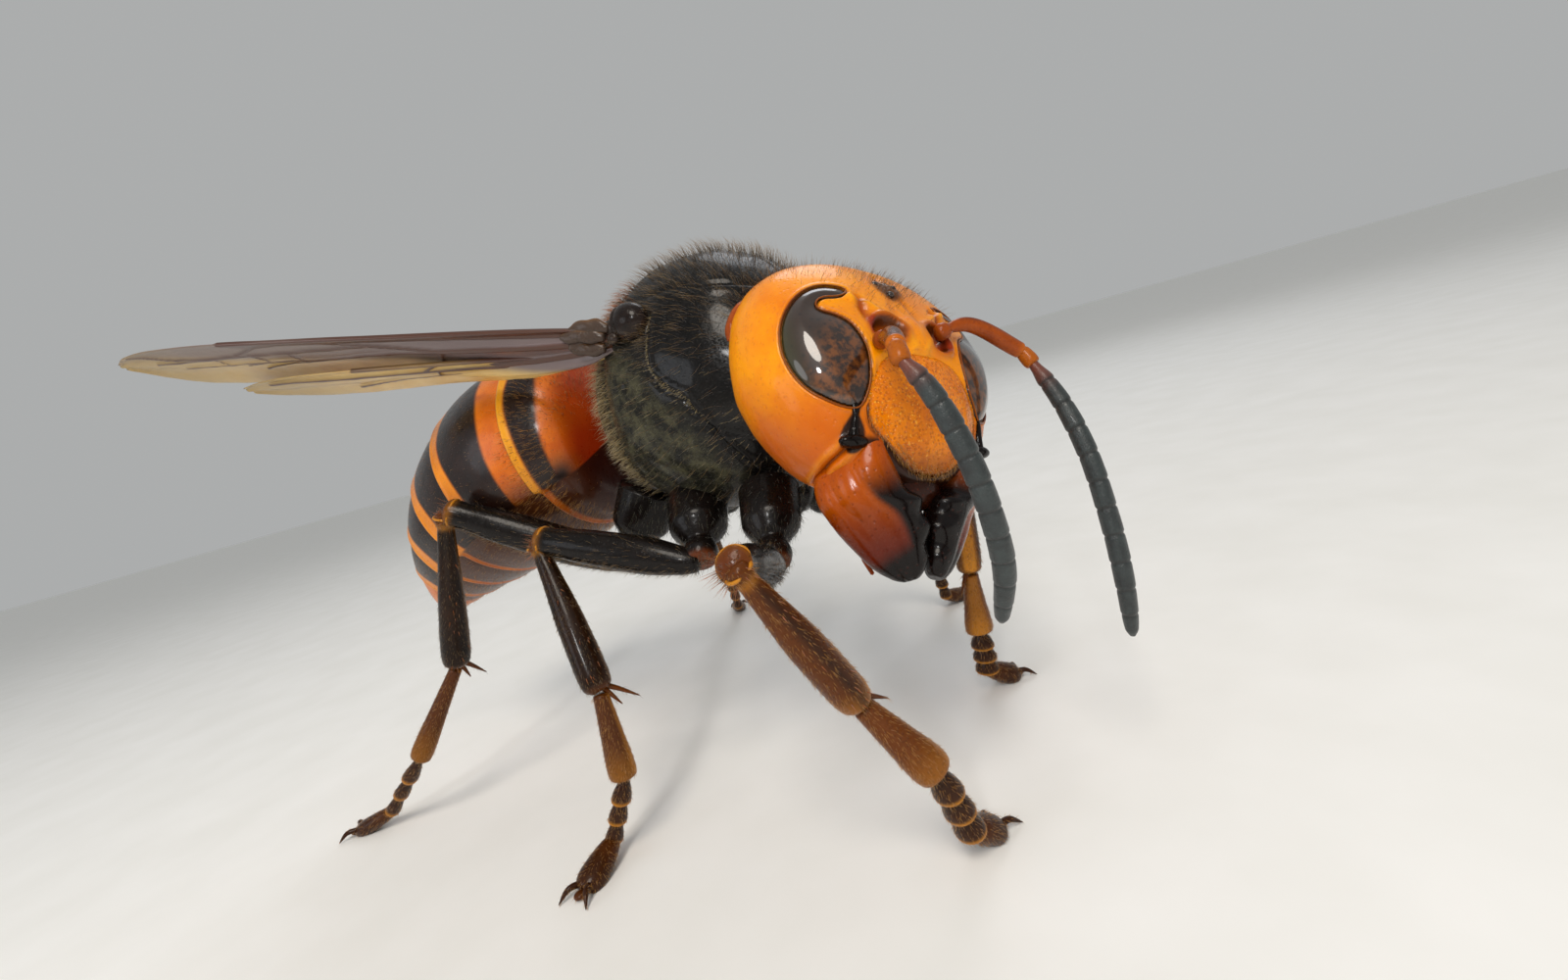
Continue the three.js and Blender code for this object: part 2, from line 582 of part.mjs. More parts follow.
const tegulaDome = (side, grow) => (
  ball(-0.35, 4.75 * side, 2.95, 1.25 + grow, 0.75 + grow, 0.95 + grow, 12, 8));
for (const [name, side] of bothSides) {
  const tegula = placed(tegulaDome(side, 0).subtract(thoraxClear), body);
  const clear = placed(tegulaDome(side, gap), body).add(thoraxGrown);
  addNode('tegula_' + name, tegula, colours.brown);
  addNode('forewing_' + name, placed(wingSolid(forewing, side), body).subtract(clear), colours.wing);
  addNode('hindwing_' + name, placed(wingSolid(hindwing, side), body).subtract(clear), colours.wing);
}

// Legs
function spike(from, to, radius, bend = 0, grow = 0) {
  const middle = from.clone().lerp(to, 0.5).add(vec(0, 0, bend));
  const rows = [[0, radius, radius], [0.5, radius * 0.7, radius * 0.7], [1, 0.03, 0.03]];
  return limb([from, middle, to], rows, 5, grow);
}
for (const [name, leg] of Object.entries(legs)) {
  const pair = name.split('_')[0];
  const size = legSize[pair];
  const scaled = (rows, by = size) => rows.map(([t, half, deep]) => [t, half * by, deep * by]);
  const root = vec(...leg.root).applyMatrix4(body);
  const [trochanter, knee, ankle, basal, fourth, toe] = points3(leg.joints);
  const hip = [[root, trochanter], scaled(coxaRows), 8];
  const thigh = [[trochanter, knee], scaled(femurRows), 8];
  const shin = [[knee, ankle], scaled(tibiaRows), 8];
  addNode('coxa_' + name, limb(...hip).subtract(thoraxGrown), colours.black);
  addNode('femur_' + name, limb(...thigh).subtract(limb(...hip, gap)).subtract(thoraxGrown), colours.black);
  const down = ankle.clone().sub(knee).normalize();
  const out = new THREE.Vector3().crossVectors(down, vec(0.2, 1, 0.1)).normalize();
  const back = new THREE.Vector3().crossVectors(down, out).normalize();
  const spurRoot = ankle.clone().addScaledVector(down, -0.45);
  let tibia = limb(...shin);
  let ankleClear = limb(...shin, gap);
  for (const lean of pair === 'front' ? [0.6] : [0.45, 1.0]) {
    const tip = spurRoot.clone().addScaledVector(down, spur.length * 0.85);
    tip.addScaledVector(back, spur.length * lean);
    tibia = tibia.add(spike(spurRoot, tip, spur.radius * size));
    ankleClear = ankleClear.add(spike(spurRoot, tip, spur.radius * size, 0, gap));
  }
  addNode('tibia_' + name, tibia.subtract(limb(...thigh, gap)), colours.brown);
  let tarsus = limb([ankle, basal], scaled(basitarsusRows), 8);
  for (let i = 0; i < 3; i += 1) {
    const low = basal.clone().lerp(fourth, i / 3 - 0.06);
    const high = basal.clone().lerp(fourth, (i + 1) / 3 + 0.04);
    const wide = tarsusWidth[pair][i];
    const rows = [[0, wide * 0.5, wide * 0.5], [0.75, wide, wide * 0.85], [1, wide * 0.7, wide * 0.6]];
    tarsus = tarsus.add(limb([low, high], rows, 6));
  }
  const sole = limb([fourth.clone().lerp(toe, -0.08), toe], scaled(footRows, footSize[pair]), 8);
  tarsus = tarsus.add(sole);
  const ahead = toe.clone().sub(fourth).setZ(0).normalize();
  const sideways = vec(-ahead.y, ahead.x, 0);
  for (const spread of [-1, 1]) {
    const start = toe.clone().addScaledVector(ahead, -0.2);
    start.addScaledVector(sideways, spread * 0.22).setZ(0.38);
    const end = start.clone().addScaledVector(ahead, claw.length);
    end.addScaledVector(sideways, spread * claw.spread).setZ(0.06);
    tarsus = tarsus.add(spike(start, end, claw.radius, 0.22));
  }
  addNode('tarsus_' + name, tarsus.subtract(ankleClear).subtract(floorBox), colours.brown);
}

export default group;
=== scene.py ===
import math

import bmesh
import bpy
import numpy as np
from mathutils import Matrix, Vector


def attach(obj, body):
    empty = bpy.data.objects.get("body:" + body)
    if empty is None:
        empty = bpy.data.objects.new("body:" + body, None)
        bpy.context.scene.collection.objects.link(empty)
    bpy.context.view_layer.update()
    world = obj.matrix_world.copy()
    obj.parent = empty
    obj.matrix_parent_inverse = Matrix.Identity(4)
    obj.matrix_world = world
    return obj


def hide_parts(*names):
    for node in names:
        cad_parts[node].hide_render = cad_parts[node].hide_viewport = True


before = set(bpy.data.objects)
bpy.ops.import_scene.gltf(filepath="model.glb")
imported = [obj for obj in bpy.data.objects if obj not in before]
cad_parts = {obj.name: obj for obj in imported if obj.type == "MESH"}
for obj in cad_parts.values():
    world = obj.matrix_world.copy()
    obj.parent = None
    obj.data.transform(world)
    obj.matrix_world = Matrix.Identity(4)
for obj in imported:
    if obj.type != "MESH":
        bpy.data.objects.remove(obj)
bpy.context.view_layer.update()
print("solids loaded")

# The stance, in millimetres and degrees: how the body stands over the floor and how the head sits on it
stance = {
    "shift": (5.23, -1.32, 0.0),
    "bodyHeight": 18.45,
    "bodyPitch": 10.4,
    "bodyRoll": -7.2,
    "headOrigin": (8.02, -0.94, -0.43),
    "headYaw": -17.0,
    "headPitch": -12.9,
    "headRoll": -9.9,
}
millimetre = 0.001
bothSides = (("right", -1), ("left", 1))


def turned(key, axis):
    return Matrix.Rotation(math.radians(stance[key]), 4, axis)


floorPlace = Matrix.Translation(stance["shift"])
bodyPlace = floorPlace @ Matrix.Translation((0, 0, stance["bodyHeight"]))
bodyPlace = bodyPlace @ turned("bodyPitch", "Y") @ turned("bodyRoll", "X")
headPlace = bodyPlace @ Matrix.Translation(stance["headOrigin"])
headPlace = headPlace @ turned("headYaw", "Z") @ turned("headPitch", "Y") @ turned("headRoll", "X")

# Camera: the photograph's own viewpoint, low beside the right of the head
camera = {
    "place": (0.02864, -0.02428, 0.0177),
    "right": (0.7317057, 0.6260580, -0.2695519),
    "up": (0.1059517, 0.2861850, 0.9522985),
    "lens": 15.82,
}


def addObject(name, data):
    thing = bpy.data.objects.new(name, data)
    bpy.context.scene.collection.objects.link(thing)
    return thing


def placeCamera():
    data = bpy.data.cameras.new("camera")
    data.sensor_width = 36
    data.lens = camera["lens"]
    data.clip_start = 0.001
    data.clip_end = 20
    right, up = Vector(camera["right"]), Vector(camera["up"])
    axes = Matrix((right, up, right.cross(up))).transposed().to_4x4()
    eye = addObject("camera", data)
    eye.matrix_world = Matrix.Translation(camera["place"]) @ axes
    bpy.context.scene.camera = eye


placeCamera()
print("camera placed")


# Tables, curves and distances
def unit(vectors):
    return vectors / np.maximum(np.linalg.norm(vectors, axis=-1, keepdims=True), 1e-9)


def readRows(at, steps, rows):
    # every column of rows, read between its steps
    return np.stack([np.interp(at, steps, column) for column in np.transpose(rows)], axis=1)


def smoothRows(table, at):
    # a smooth curve through the rows of a table, which never overshoots them
    rows = np.array(table, float)
    if rows[0, 0] > rows[-1, 0]:
        rows = rows[::-1]
    xs, ys = rows[:, 0], rows[:, 1:]
    steps = np.diff(xs)
    chords = np.diff(ys, axis=0) / steps[:, None]
    slopes = np.zeros_like(ys)
    same = chords[:-1] * chords[1:] > 0
    total = np.where(same, chords[:-1] + chords[1:], 1)
    slopes[1:-1] = np.where(same, 2 * chords[:-1] * chords[1:] / total, 0)
    slopes[0], slopes[-1] = chords[0], chords[-1]
    at = np.clip(np.asarray(at, float), xs[0], xs[-1])
    i = np.clip(np.searchsorted(xs, at, side="right") - 1, 0, len(xs) - 2)
    t = ((at - xs[i]) / steps[i])[..., None]
    return fairCurve(t, ys[i], ys[i + 1], *(steps[i][..., None] * slopes[j] for j in (i, i + 1)))


def fairCurve(t, first, last, leaving, arriving):
    # a cubic between two values with the slope at each end
    return ((2 * t**3 - 3 * t**2 + 1) * first + (t**3 - 2 * t**2 + t) * leaving
            + (3 * t**2 - 2 * t**3) * last + (t**3 - t**2) * arriving)


def smoothPath(points, count=160):
    # a rounded curve through points, sampled at even steps of its length
    knots = np.array(points, float)
    knots = np.vstack([2 * knots[0] - knots[1], knots, 2 * knots[-1] - knots[-2]])
    t = np.linspace(0, 1, 24, endpoint=False)[:, None]
    fine = []
    for k in range(1, len(knots) - 2):
        p0, p1, p2, p3 = knots[k - 1:k + 3]
        d0, d1, d2 = (np.linalg.norm(q - p) ** 0.5 for p, q in ((p0, p1), (p1, p2), (p2, p3)))
        m1 = ((p1 - p0) / d0 - (p2 - p0) / (d0 + d1) + (p2 - p1) / d1) * d1
        m2 = ((p2 - p1) / d1 - (p3 - p1) / (d1 + d2) + (p3 - p2) / d2) * d1
        fine.append(fairCurve(t, p1, p2, m1, m2))
    fine = np.vstack(fine + [knots[-2:-1]])
    walked = np.concatenate([[0], np.cumsum(np.linalg.norm(np.diff(fine, axis=0), axis=1))])
    return readRows(np.linspace(0, walked[-1], count), walked, fine)


def smoothOutline(outline, count=160):
    # the same for a closed outline
    fine = smoothPath([*outline[-2:], *outline, *outline[:2]], count * 2)
    first, half = np.array(outline[0]), len(fine) // 2
    start, stop = (np.argmin(np.linalg.norm(part - first, axis=1)) for part in (fine[:half], fine[half:]))
    return fine[start:half + stop]


def outlineDistance(allX, allY, outline, reach=0.6):
    # distance to a closed outline, less than nothing inside it, and the nearest point of it;
    # points further than reach from its box are only far
    low, high = outline.min(axis=0) - reach, outline.max(axis=0) + reach
    close = (allX > low[0]) & (allX < high[0]) & (allY > low[1]) & (allY < high[1])
    x, y = allX[close], allY[close]
    best = np.full(x.shape, 1e9)
    nearX, nearY = x.copy(), y.copy()
    inside = np.zeros(x.shape, bool)
    for (ax, ay), (bx, by) in zip(outline, np.roll(outline, -1, axis=0)):
        ex, ey = bx - ax, by - ay
        t = np.clip(((x - ax) * ex + (y - ay) * ey) / max(ex * ex + ey * ey, 1e-12), 0, 1)
        qx, qy = ax + t * ex, ay + t * ey
        away = np.hypot(x - qx, y - qy)
        closer = away < best
        best, nearX, nearY = (np.where(closer, new, old) for new, old in ((away, best), (qx, nearX), (qy, nearY)))
        slant = ex / ey if abs(ey) > 1e-9 else 0
        inside ^= ((ay > y) != (by > y)) & (x < ax + slant * (y - ay))
    away, spotX, spotY = np.full(allX.shape, 9.0), allX.copy(), allY.copy()
    away[close], spotX[close], spotY[close] = np.where(inside, -best, best), nearX, nearY
    return away, spotX, spotY


def lineDistance(points, line):
    # distance of every point to a bent line
    line = np.array(line, float)
    best = np.full(len(points), 1e9)
    for start, end in zip(line[:-1], line[1:]):
        edge = end - start
        t = np.clip(((points - start) @ edge) / max(edge @ edge, 1e-12), 0, 1)
        best = np.minimum(best, np.linalg.norm(points - start - t[:, None] * edge, axis=1))
    return best


def rise(x, low, high):
    # nothing below low, one above high, and a soft step between
    t = np.clip((x - low) / (high - low), 0, 1)
    return t * t * (3 - 2 * t)


def hump(x, middle, width):
    return np.exp(-((x - middle) / width) ** 2)


def swell(value, square):
    return np.sign(value) * np.abs(value) ** (2 / square)


def highest(*fields):
    return np.max(np.broadcast_arrays(*fields), axis=0)


def softNoise(points, scale, seed=0):
    # a smooth uneven field made of a few turned waves
    rng = np.random.default_rng(seed)
    total = np.zeros(len(points))
    for octave in range(3):
        for _ in range(4):
            wave = rng.normal(size=3)
            wave *= scale * 2**octave / np.linalg.norm(wave)
            total += np.sin(points @ wave + rng.uniform(0, 6.28)) / (2**octave * 4)
    return total


# Meshes
def meshFrom(bm, name):
    mesh = bpy.data.meshes.new(name)
    bm.to_mesh(mesh)
    bm.free()
    return mesh


def readPoints(mesh):
    points = np.empty(len(mesh.vertices) * 3)
    mesh.vertices.foreach_get("co", points)
    return points.reshape(-1, 3)


def writePoints(mesh, points):
    mesh.vertices.foreach_set("co", np.ascontiguousarray(points, float).ravel())
    mesh.update()


def readNormals(mesh):
    normals = np.empty(len(mesh.vertices) * 3)
    mesh.vertex_normals.foreach_get("vector", normals)
    return normals.reshape(-1, 3)


def trianglesOf(mesh):
    mesh.calc_loop_triangles()
    corners = np.empty(len(mesh.loop_triangles) * 3, int)
    mesh.loop_triangles.foreach_get("vertices", corners)
    return corners.reshape(-1, 3)


def faceOut(mesh):
    # turns the faces of a closed form outwards
    p = readPoints(mesh)[trianglesOf(mesh)]
    if np.einsum("ij,ij->i", p[:, 0], np.cross(p[:, 1], p[:, 2])).sum() < 0:
        mesh.flip_normals()
    mesh.update()


def lifted(mesh, heights):
    # moves every point along its normal
    writePoints(mesh, readPoints(mesh) + readNormals(mesh) * heights[:, None])


def moved(points, place):
    return points @ np.array(place.to_3x3()).T + np.array(place.translation)


def markAll(mesh, **marks):
    # numbers at every point, for the finish to read
    for key, value in marks.items():
        layer = mesh.attributes.get(key) or mesh.attributes.new(key, "FLOAT", "POINT")
        layer.data.foreach_set("value", np.broadcast_to(value, len(mesh.vertices)).astype(np.float32))


def shareOf(mesh, key="share"):
    values = np.empty(len(mesh.vertices), np.float32)
    mesh.attributes[key].data.foreach_get("value", values)
    return values


def roundMesh(name, around, rings):
    # a ball with many even rings, with the angle and the share from end to end of each of its points
    bm = bmesh.new()
    bmesh.ops.create_cone(bm, cap_ends=True, cap_tris=True, segments=around, radius1=1, radius2=1, depth=2)
    upright = [edge for edge in bm.edges if abs(edge.verts[0].co.z - edge.verts[1].co.z) > 1]
    bmesh.ops.subdivide_edges(bm, edges=upright, cuts=rings - 3, use_grid_fill=True)
    mesh = meshFrom(bm, name)
    x, y, z = readPoints(mesh).T
    angle = np.arctan2(y, x)
    share = np.where(np.hypot(x, y) < 0.5, (1 - z) / 2, 1 / rings + (1 - z) / 2 * (1 - 2 / rings))
    wide = np.sin(math.pi * share)
    writePoints(mesh, np.stack([wide * np.cos(angle), wide * np.sin(angle), np.cos(math.pi * share)], axis=1))
    markAll(mesh, share=share, round=angle)
    return mesh, angle, share


def ballMesh(name, around, rings, size, place):
    mesh = roundMesh(name, around, rings)[0]
    writePoints(mesh, readPoints(mesh) * size + place)
    return mesh


def onSide(points, side):
    return np.array(points) * (1, side, 1)


def tubeAlong(name, points, rows, around, rings, relief=None, count=160):
    # a closed limb along a curve: rows give the share, half width and half depth
    path = smoothPath(points, count) if len(points) > 2 else np.linspace(points[0], points[1], count)
    mesh, angle, share = roundMesh(name, around, rings)
    steps = np.linspace(0, 1, count)
    centre = readRows(share, steps, path)
    lean = readRows(share, steps, unit(np.gradient(path, axis=0)))
    side = unit(np.cross(lean, np.array([0.13, 0.21, 1]) / 1.0299))
    half = smoothRows(rows, share)
    if half.shape[1] == 1:
        half = np.repeat(half, 2, axis=1)
    ring = side * (half[:, :1] * np.cos(angle)[:, None])
    ring += np.cross(side, lean) * (half[:, 1:2] * np.sin(angle)[:, None])
    writePoints(mesh, centre + ring * (1 if relief is None else 1 + relief(share, angle)[:, None]))
    faceOut(mesh)
    return mesh


def joinMeshes(name, meshes):
    # one mesh out of several, with their marks kept
    bm = bmesh.new()
    for mesh in meshes:
        bm.from_mesh(mesh)
    for mesh in meshes:
        bpy.data.meshes.remove(mesh)
    return meshFrom(bm, name)


def dressPiece(mesh, finish, nodes=()):
    # makes a mesh in metres a piece of the model that rides on the body
    mesh.polygons.foreach_set("use_smooth", np.ones(len(mesh.polygons), bool))
    mesh.materials.append(finish)
    piece = addObject(mesh.name, mesh)
    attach(piece, "root")
    if nodes:
        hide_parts(*nodes)
    return piece


def finishPiece(mesh, place, finish, nodes=()):
    # puts a form in its place, in metres
    writePoints(mesh, moved(readPoints(mesh), place) * millimetre)
    return dressPiece(mesh, finish, nodes)


# Finishes
def colour(code):
    parts = [int(code[i:i + 2], 16) / 255 for i in (1, 3, 5)]
    return (*[p / 12.92 if p <= 0.04045 else ((p + 0.055) / 1.055) ** 2.4 for p in parts], 1)


def feed(tree, socket, value):
    if isinstance(value, bpy.types.Node):
        value = value.outputs[0]
    if isinstance(value, bpy.types.NodeSocket):
        tree.links.new(value, socket)
    else:
        socket.default_value = colour(value) if isinstance(value, str) else value


def addNode(tree, kind, inputs=None, **settings):
    node = tree.nodes.new("ShaderNode" + kind)
    for key, value in settings.items():
        setattr(node, key, value)
    for key, value in (inputs or {}).items():
        feed(tree, node.inputs[key], value)
    return node


def startFinish(name, **sockets):
    # a new finish with its shader, and the constants set straight on the shader
    finish = bpy.data.materials.new(name)
    finish.use_nodes = True
    tree = finish.node_tree
    tree.nodes.clear()
    output = tree.nodes.new("ShaderNodeOutputMaterial")
    shader = tree.nodes.new("ShaderNodeBsdfPrincipled")
    tree.links.new(shader.outputs[0], output.inputs[0])
    for key, value in sockets.items():
        words = "".join(" " + c if c.isupper() else c for c in key).title()
        feed(tree, shader.inputs[words.replace("I O R", "IOR")], value)
    return finish, tree, shader


def blend(tree, factor, first, second):
    return addNode(tree, "Mix", {0: factor, 6: first, 7: second}, data_type="RGBA").outputs[2]


def sums(tree, how, first, second):
    return addNode(tree, "Math", {0: first, 1: second}, operation=how)


def ranged(tree, value, low, high, to=(0.0, 1.0)):
    return addNode(tree, "MapRange", {0: value, 1: low, 2: high, 3: to[0], 4: to[1]})


def marked(tree, name, share=1):
    fac = addNode(tree, "Attribute", attribute_name=name, attribute_type="GEOMETRY").outputs["Fac"]
    return fac if share == 1 else sums(tree, "MULTIPLY", fac, share)


def grain(tree, size, detail=3.0, roughness=0.5, stretch=None):
    # noise whose features are about size millimetres across
    spot = addNode(tree, "TexCoord").outputs["Object"]
    if stretch:
        spot = addNode(tree, "Mapping", {0: spot, 3: stretch})
    inputs = {"Vector": spot, "Scale": 1000 / size, "Detail": detail, "Roughness": roughness}
    return addNode(tree, "TexNoise", inputs).outputs["Fac"]


def cells(tree, size, low, high, to=(0.0, 1.0)):
    # round cells about size millimetres across, nothing in their middles
    spot = addNode(tree, "TexCoord").outputs["Object"]
    inputs = {"Vector": spot, "Scale": 1000 / size}
    return ranged(tree, addNode(tree, "TexVoronoi", inputs).outputs["Distance"], low, high, to)


def mottled(tree, size, first, second, low=0.35, high=0.7, detail=4, roughness=0.6, stretch=None):
    return blend(tree, ranged(tree, grain(tree, size, detail, roughness, stretch), low, high), first, second)


def bumped(tree, shader, heights):
    # heights: pairs of a height from 0 to 1, or a noise's size and detail, and its depth in millimetres
    normal = None
    for height, depth in heights:
        if isinstance(height, tuple):
            height = grain(tree, *height)
        inputs = {"Height": height, "Distance": depth * millimetre, "Strength": 1.0}
        if normal:
            inputs["Normal"] = normal
        normal = addNode(tree, "Bump", inputs)
    feed(tree, shader.inputs["Normal"], normal)


def layeredFinish(name, tones, layers=(), pits=None, gloss=None, shine=(), bumps=(), **sockets):
    # tones: the ground, plain or mottled. layers: a mark, or "pits", with its strength and colour
    # pits: size, range and depth. gloss: a noise's size and detail, and the roughness from and to
    # shine: marks that change the roughness
    finish, tree, shader = startFinish(name, **sockets)
    base = tones if isinstance(tones, str) else mottled(tree, *tones)
    bumps = list(bumps)
    if pits:
        size, low, high, depth = pits
        pit = cells(tree, size, low, high)
        bumps.insert(0, (pit, depth))
    for key, share, code in layers:
        if callable(key):
            factor = key(tree)
        elif key == "pits":
            factor = sums(tree, "MULTIPLY", sums(tree, "SUBTRACT", 1.0, pit), share)
        else:
            factor = marked(tree, key, share)
        base = blend(tree, factor, base, mottled(tree, *code) if isinstance(code, tuple) else code)
    feed(tree, shader.inputs["Base Color"], base)
    if gloss:
        size, detail, *to = gloss
        rough = ranged(tree, grain(tree, size, detail), 0.2, 0.8, to)
        for key, share in shine:
            rough = sums(tree, "ADD", rough, marked(tree, key, share))
        feed(tree, shader.inputs["Roughness"], rough)
    if bumps:
        bumped(tree, shader, bumps)
    return finish


# Head: rows of height, front, rear and half width, and the outlines of eye and clypeus in their planes
head = {
    "profile": (
        (4.85, 0.2, 0.2, 0), (4.6, 0.95, -1.2, 2.2), (4.1, 1.55, -2.0, 3.5), (3.3, 2.3, -2.6, 4.35),
        (2.2, 3.1, -2.95, 4.85), (1.0, 3.7, -3.05, 5.0), (-0.3, 4.05, -2.9, 4.92),
        (-1.5, 4.2, -2.4, 4.55), (-2.6, 4.2, -1.6, 3.95), (-3.5, 4.05, -0.6, 3.2),
        (-4.0, 3.5, 0.5, 2.2), (-4.2, 2.0, 2.0, 0),
    ),
    "square": 2.4,
    "around": 380,
    "rings": 255,
    "eye": (
        (-0.16, 2.98), (0.2, 2.98), (0.44, 2.91), (0.55, 2.74), (0.48, 2.56), (0.27, 2.46), (0.02, 2.41),
        (-0.15, 2.25), (-0.14, 2.01), (0.05, 1.84), (0.41, 1.7), (0.83, 1.45), (1.18, 1.0), (1.42, 0.43), (1.52, -0.32),
        (1.45, -0.99), (1.2, -1.5), (0.81, -1.5), (0.26, -1.25), (-0.28, -0.89), (-0.76, -0.31),
        (-1.08, 0.38), (-1.18, 1.15), (-1.07, 1.85), (-0.78, 2.5), (-0.48, 2.84),
    ),
    "eyeAcross": (0.816, 0.578),
    "eyeStart": 0.4,
    "clypeus": (
        (0.8, 0.45), (1.55, 0.15), (2.15, -0.62), (2.4, -1.5), (2.3, -2.15), (1.75, -2.75),
        (1.35, -3.2), (0.8, -3.6), (0, -3.75),
    ),
    "jawCut": ((3.8, -3.0, -3.35), (0.56, -0.47, -0.68)),
    "socket": (3.7, -1.12, 1.35),
    "malar": ((3.82, -2.68, -1.45), (3.79, -2.8, -1.8), (3.7, -2.85, -2.3), (3.62, -2.87, -2.65)),
    "cheek": ((1.4, -2.8, -3.75), (1.81, -2.98, -3.66), (2.75, -3.2, -3.31), (3.17, -3.07, -3.05), (3.6, -2.88, -2.7)),
    "brow": ((2.7, -2.05, 2.5), (3.1, -1.4, 2.3), (3.42, -0.92, 1.97), (3.75, -0.6, 1.3), (3.92, -0.3, 0.7)),
    "furrow": ((2.55, -0.12, 3.1), (3.0, -0.4, 2.55), (3.35, -0.45, 2.0)),
    "trench": ((2.75, -1.75, 2.6), (2.99, -1.75, 2.26), (3.4, -1.75, 1.7), (3.68, -1.7, 1.1)),
    "seam": ((2.0, 0, 3.7), (1.2, 0, 4.3), (0.2, 0, 4.75), (-1.2, 0, 4.5)),
    "crown": (2.3, 0, 3.35),
    "ocelli": ((0, 3.1), (0.42, 3.52), (-0.42, 3.52)),
    "ocellus": (0.13, 0.15, 0.13),
    "hollow": ((-3.6, 0, 0.4), (1.9, 2.7, 2.4)),
}
eyeLoop = smoothOutline(head["eye"], 90)
clypeusHalf = head["clypeus"][:-1]
clypeusLoop = smoothOutline([*clypeusHalf, head["clypeus"][-1], *[(-y, z) for y, z in clypeusHalf[::-1]]], 80)


def headOver(x, y, z):
    # how far a point is out of the head's plain form, nothing on its surface
    front, rear, half = np.moveaxis(smoothRows(head["profile"], z), -1, 0)
    depth, half = np.maximum((front - rear) / 2, 1e-3), np.maximum(half, 1e-3)
    return np.abs(y / half) ** head["square"] + np.abs((x - (front + rear) / 2) / depth) ** head["square"] - 1


def headMeets(start, aim):
    # walks from points inside the head along a direction to its surface
    near, far = np.zeros(len(start)), np.full(len(start), 8.0)
    for _ in range(30):
        middle = (near + far) / 2
        out = headOver(*(start + aim * middle[:, None]).T) > 0
        near, far = np.where(out, near, middle), np.where(out, middle, far)
    return start + aim * near[:, None]


def eyePlane(points):
    # the place of points over the eye's own plane, on whichever side they are
    ax, ay = head["eyeAcross"]
    x, y = points[:, 0] - head["eyeStart"], -np.abs(points[:, 1])
    return x * ax + y * ay, points[:, 2], x * ay - y * ax


def eyeSurface(across, up, inset=0.0):
    # back from the right eye's plane to the head's plain form, and the way out of it
    ax, ay = head["eyeAcross"]
    start = np.stack([head["eyeStart"] + across * ax, across * ay, up], axis=1)
    aim = np.tile((ay, -ax, 0.0), (len(start), 1))
    return headMeets(start + aim * inset, aim), aim


def headForm(angle, share):
    top, bottom = head["profile"][0][0], head["profile"][-1][0]
    z = top + (bottom - top) * (1 - np.cos(math.pi * share)) / 2
    front, rear, half = np.moveaxis(smoothRows(head["profile"], z), -1, 0)
    y = half * swell(np.cos(angle), head["square"])
    x = (front + rear) / 2 + (front - rear) / 2 * swell(np.sin(angle), head["square"])
    return np.stack([x, y, z], axis=1)


def headMarks(points):
    # the distances that the head's relief and markings grow from
    across, up, out = eyePlane(points)
    eye = np.where(out > 1.2, outlineDistance(across, up, eyeLoop)[0], 9)
    clypeus = np.where(points[:, 0] > 1.2, outlineDistance(points[:, 1], points[:, 2], clypeusLoop)[0], 9)
    folded = np.stack([points[:, 0], -np.abs(points[:, 1]), points[:, 2]], axis=1)
    socket = np.linalg.norm(folded - head["socket"], axis=1)
    facing = unit(np.array(head["jawCut"][1]))
    return {"eye": eye, "clypeus": clypeus, "folded": folded, "socket": socket,
            "malar": lineDistance(folded, head["malar"]), "jaw": (folded - head["jawCut"][0]) @ facing,
            "facing": facing}


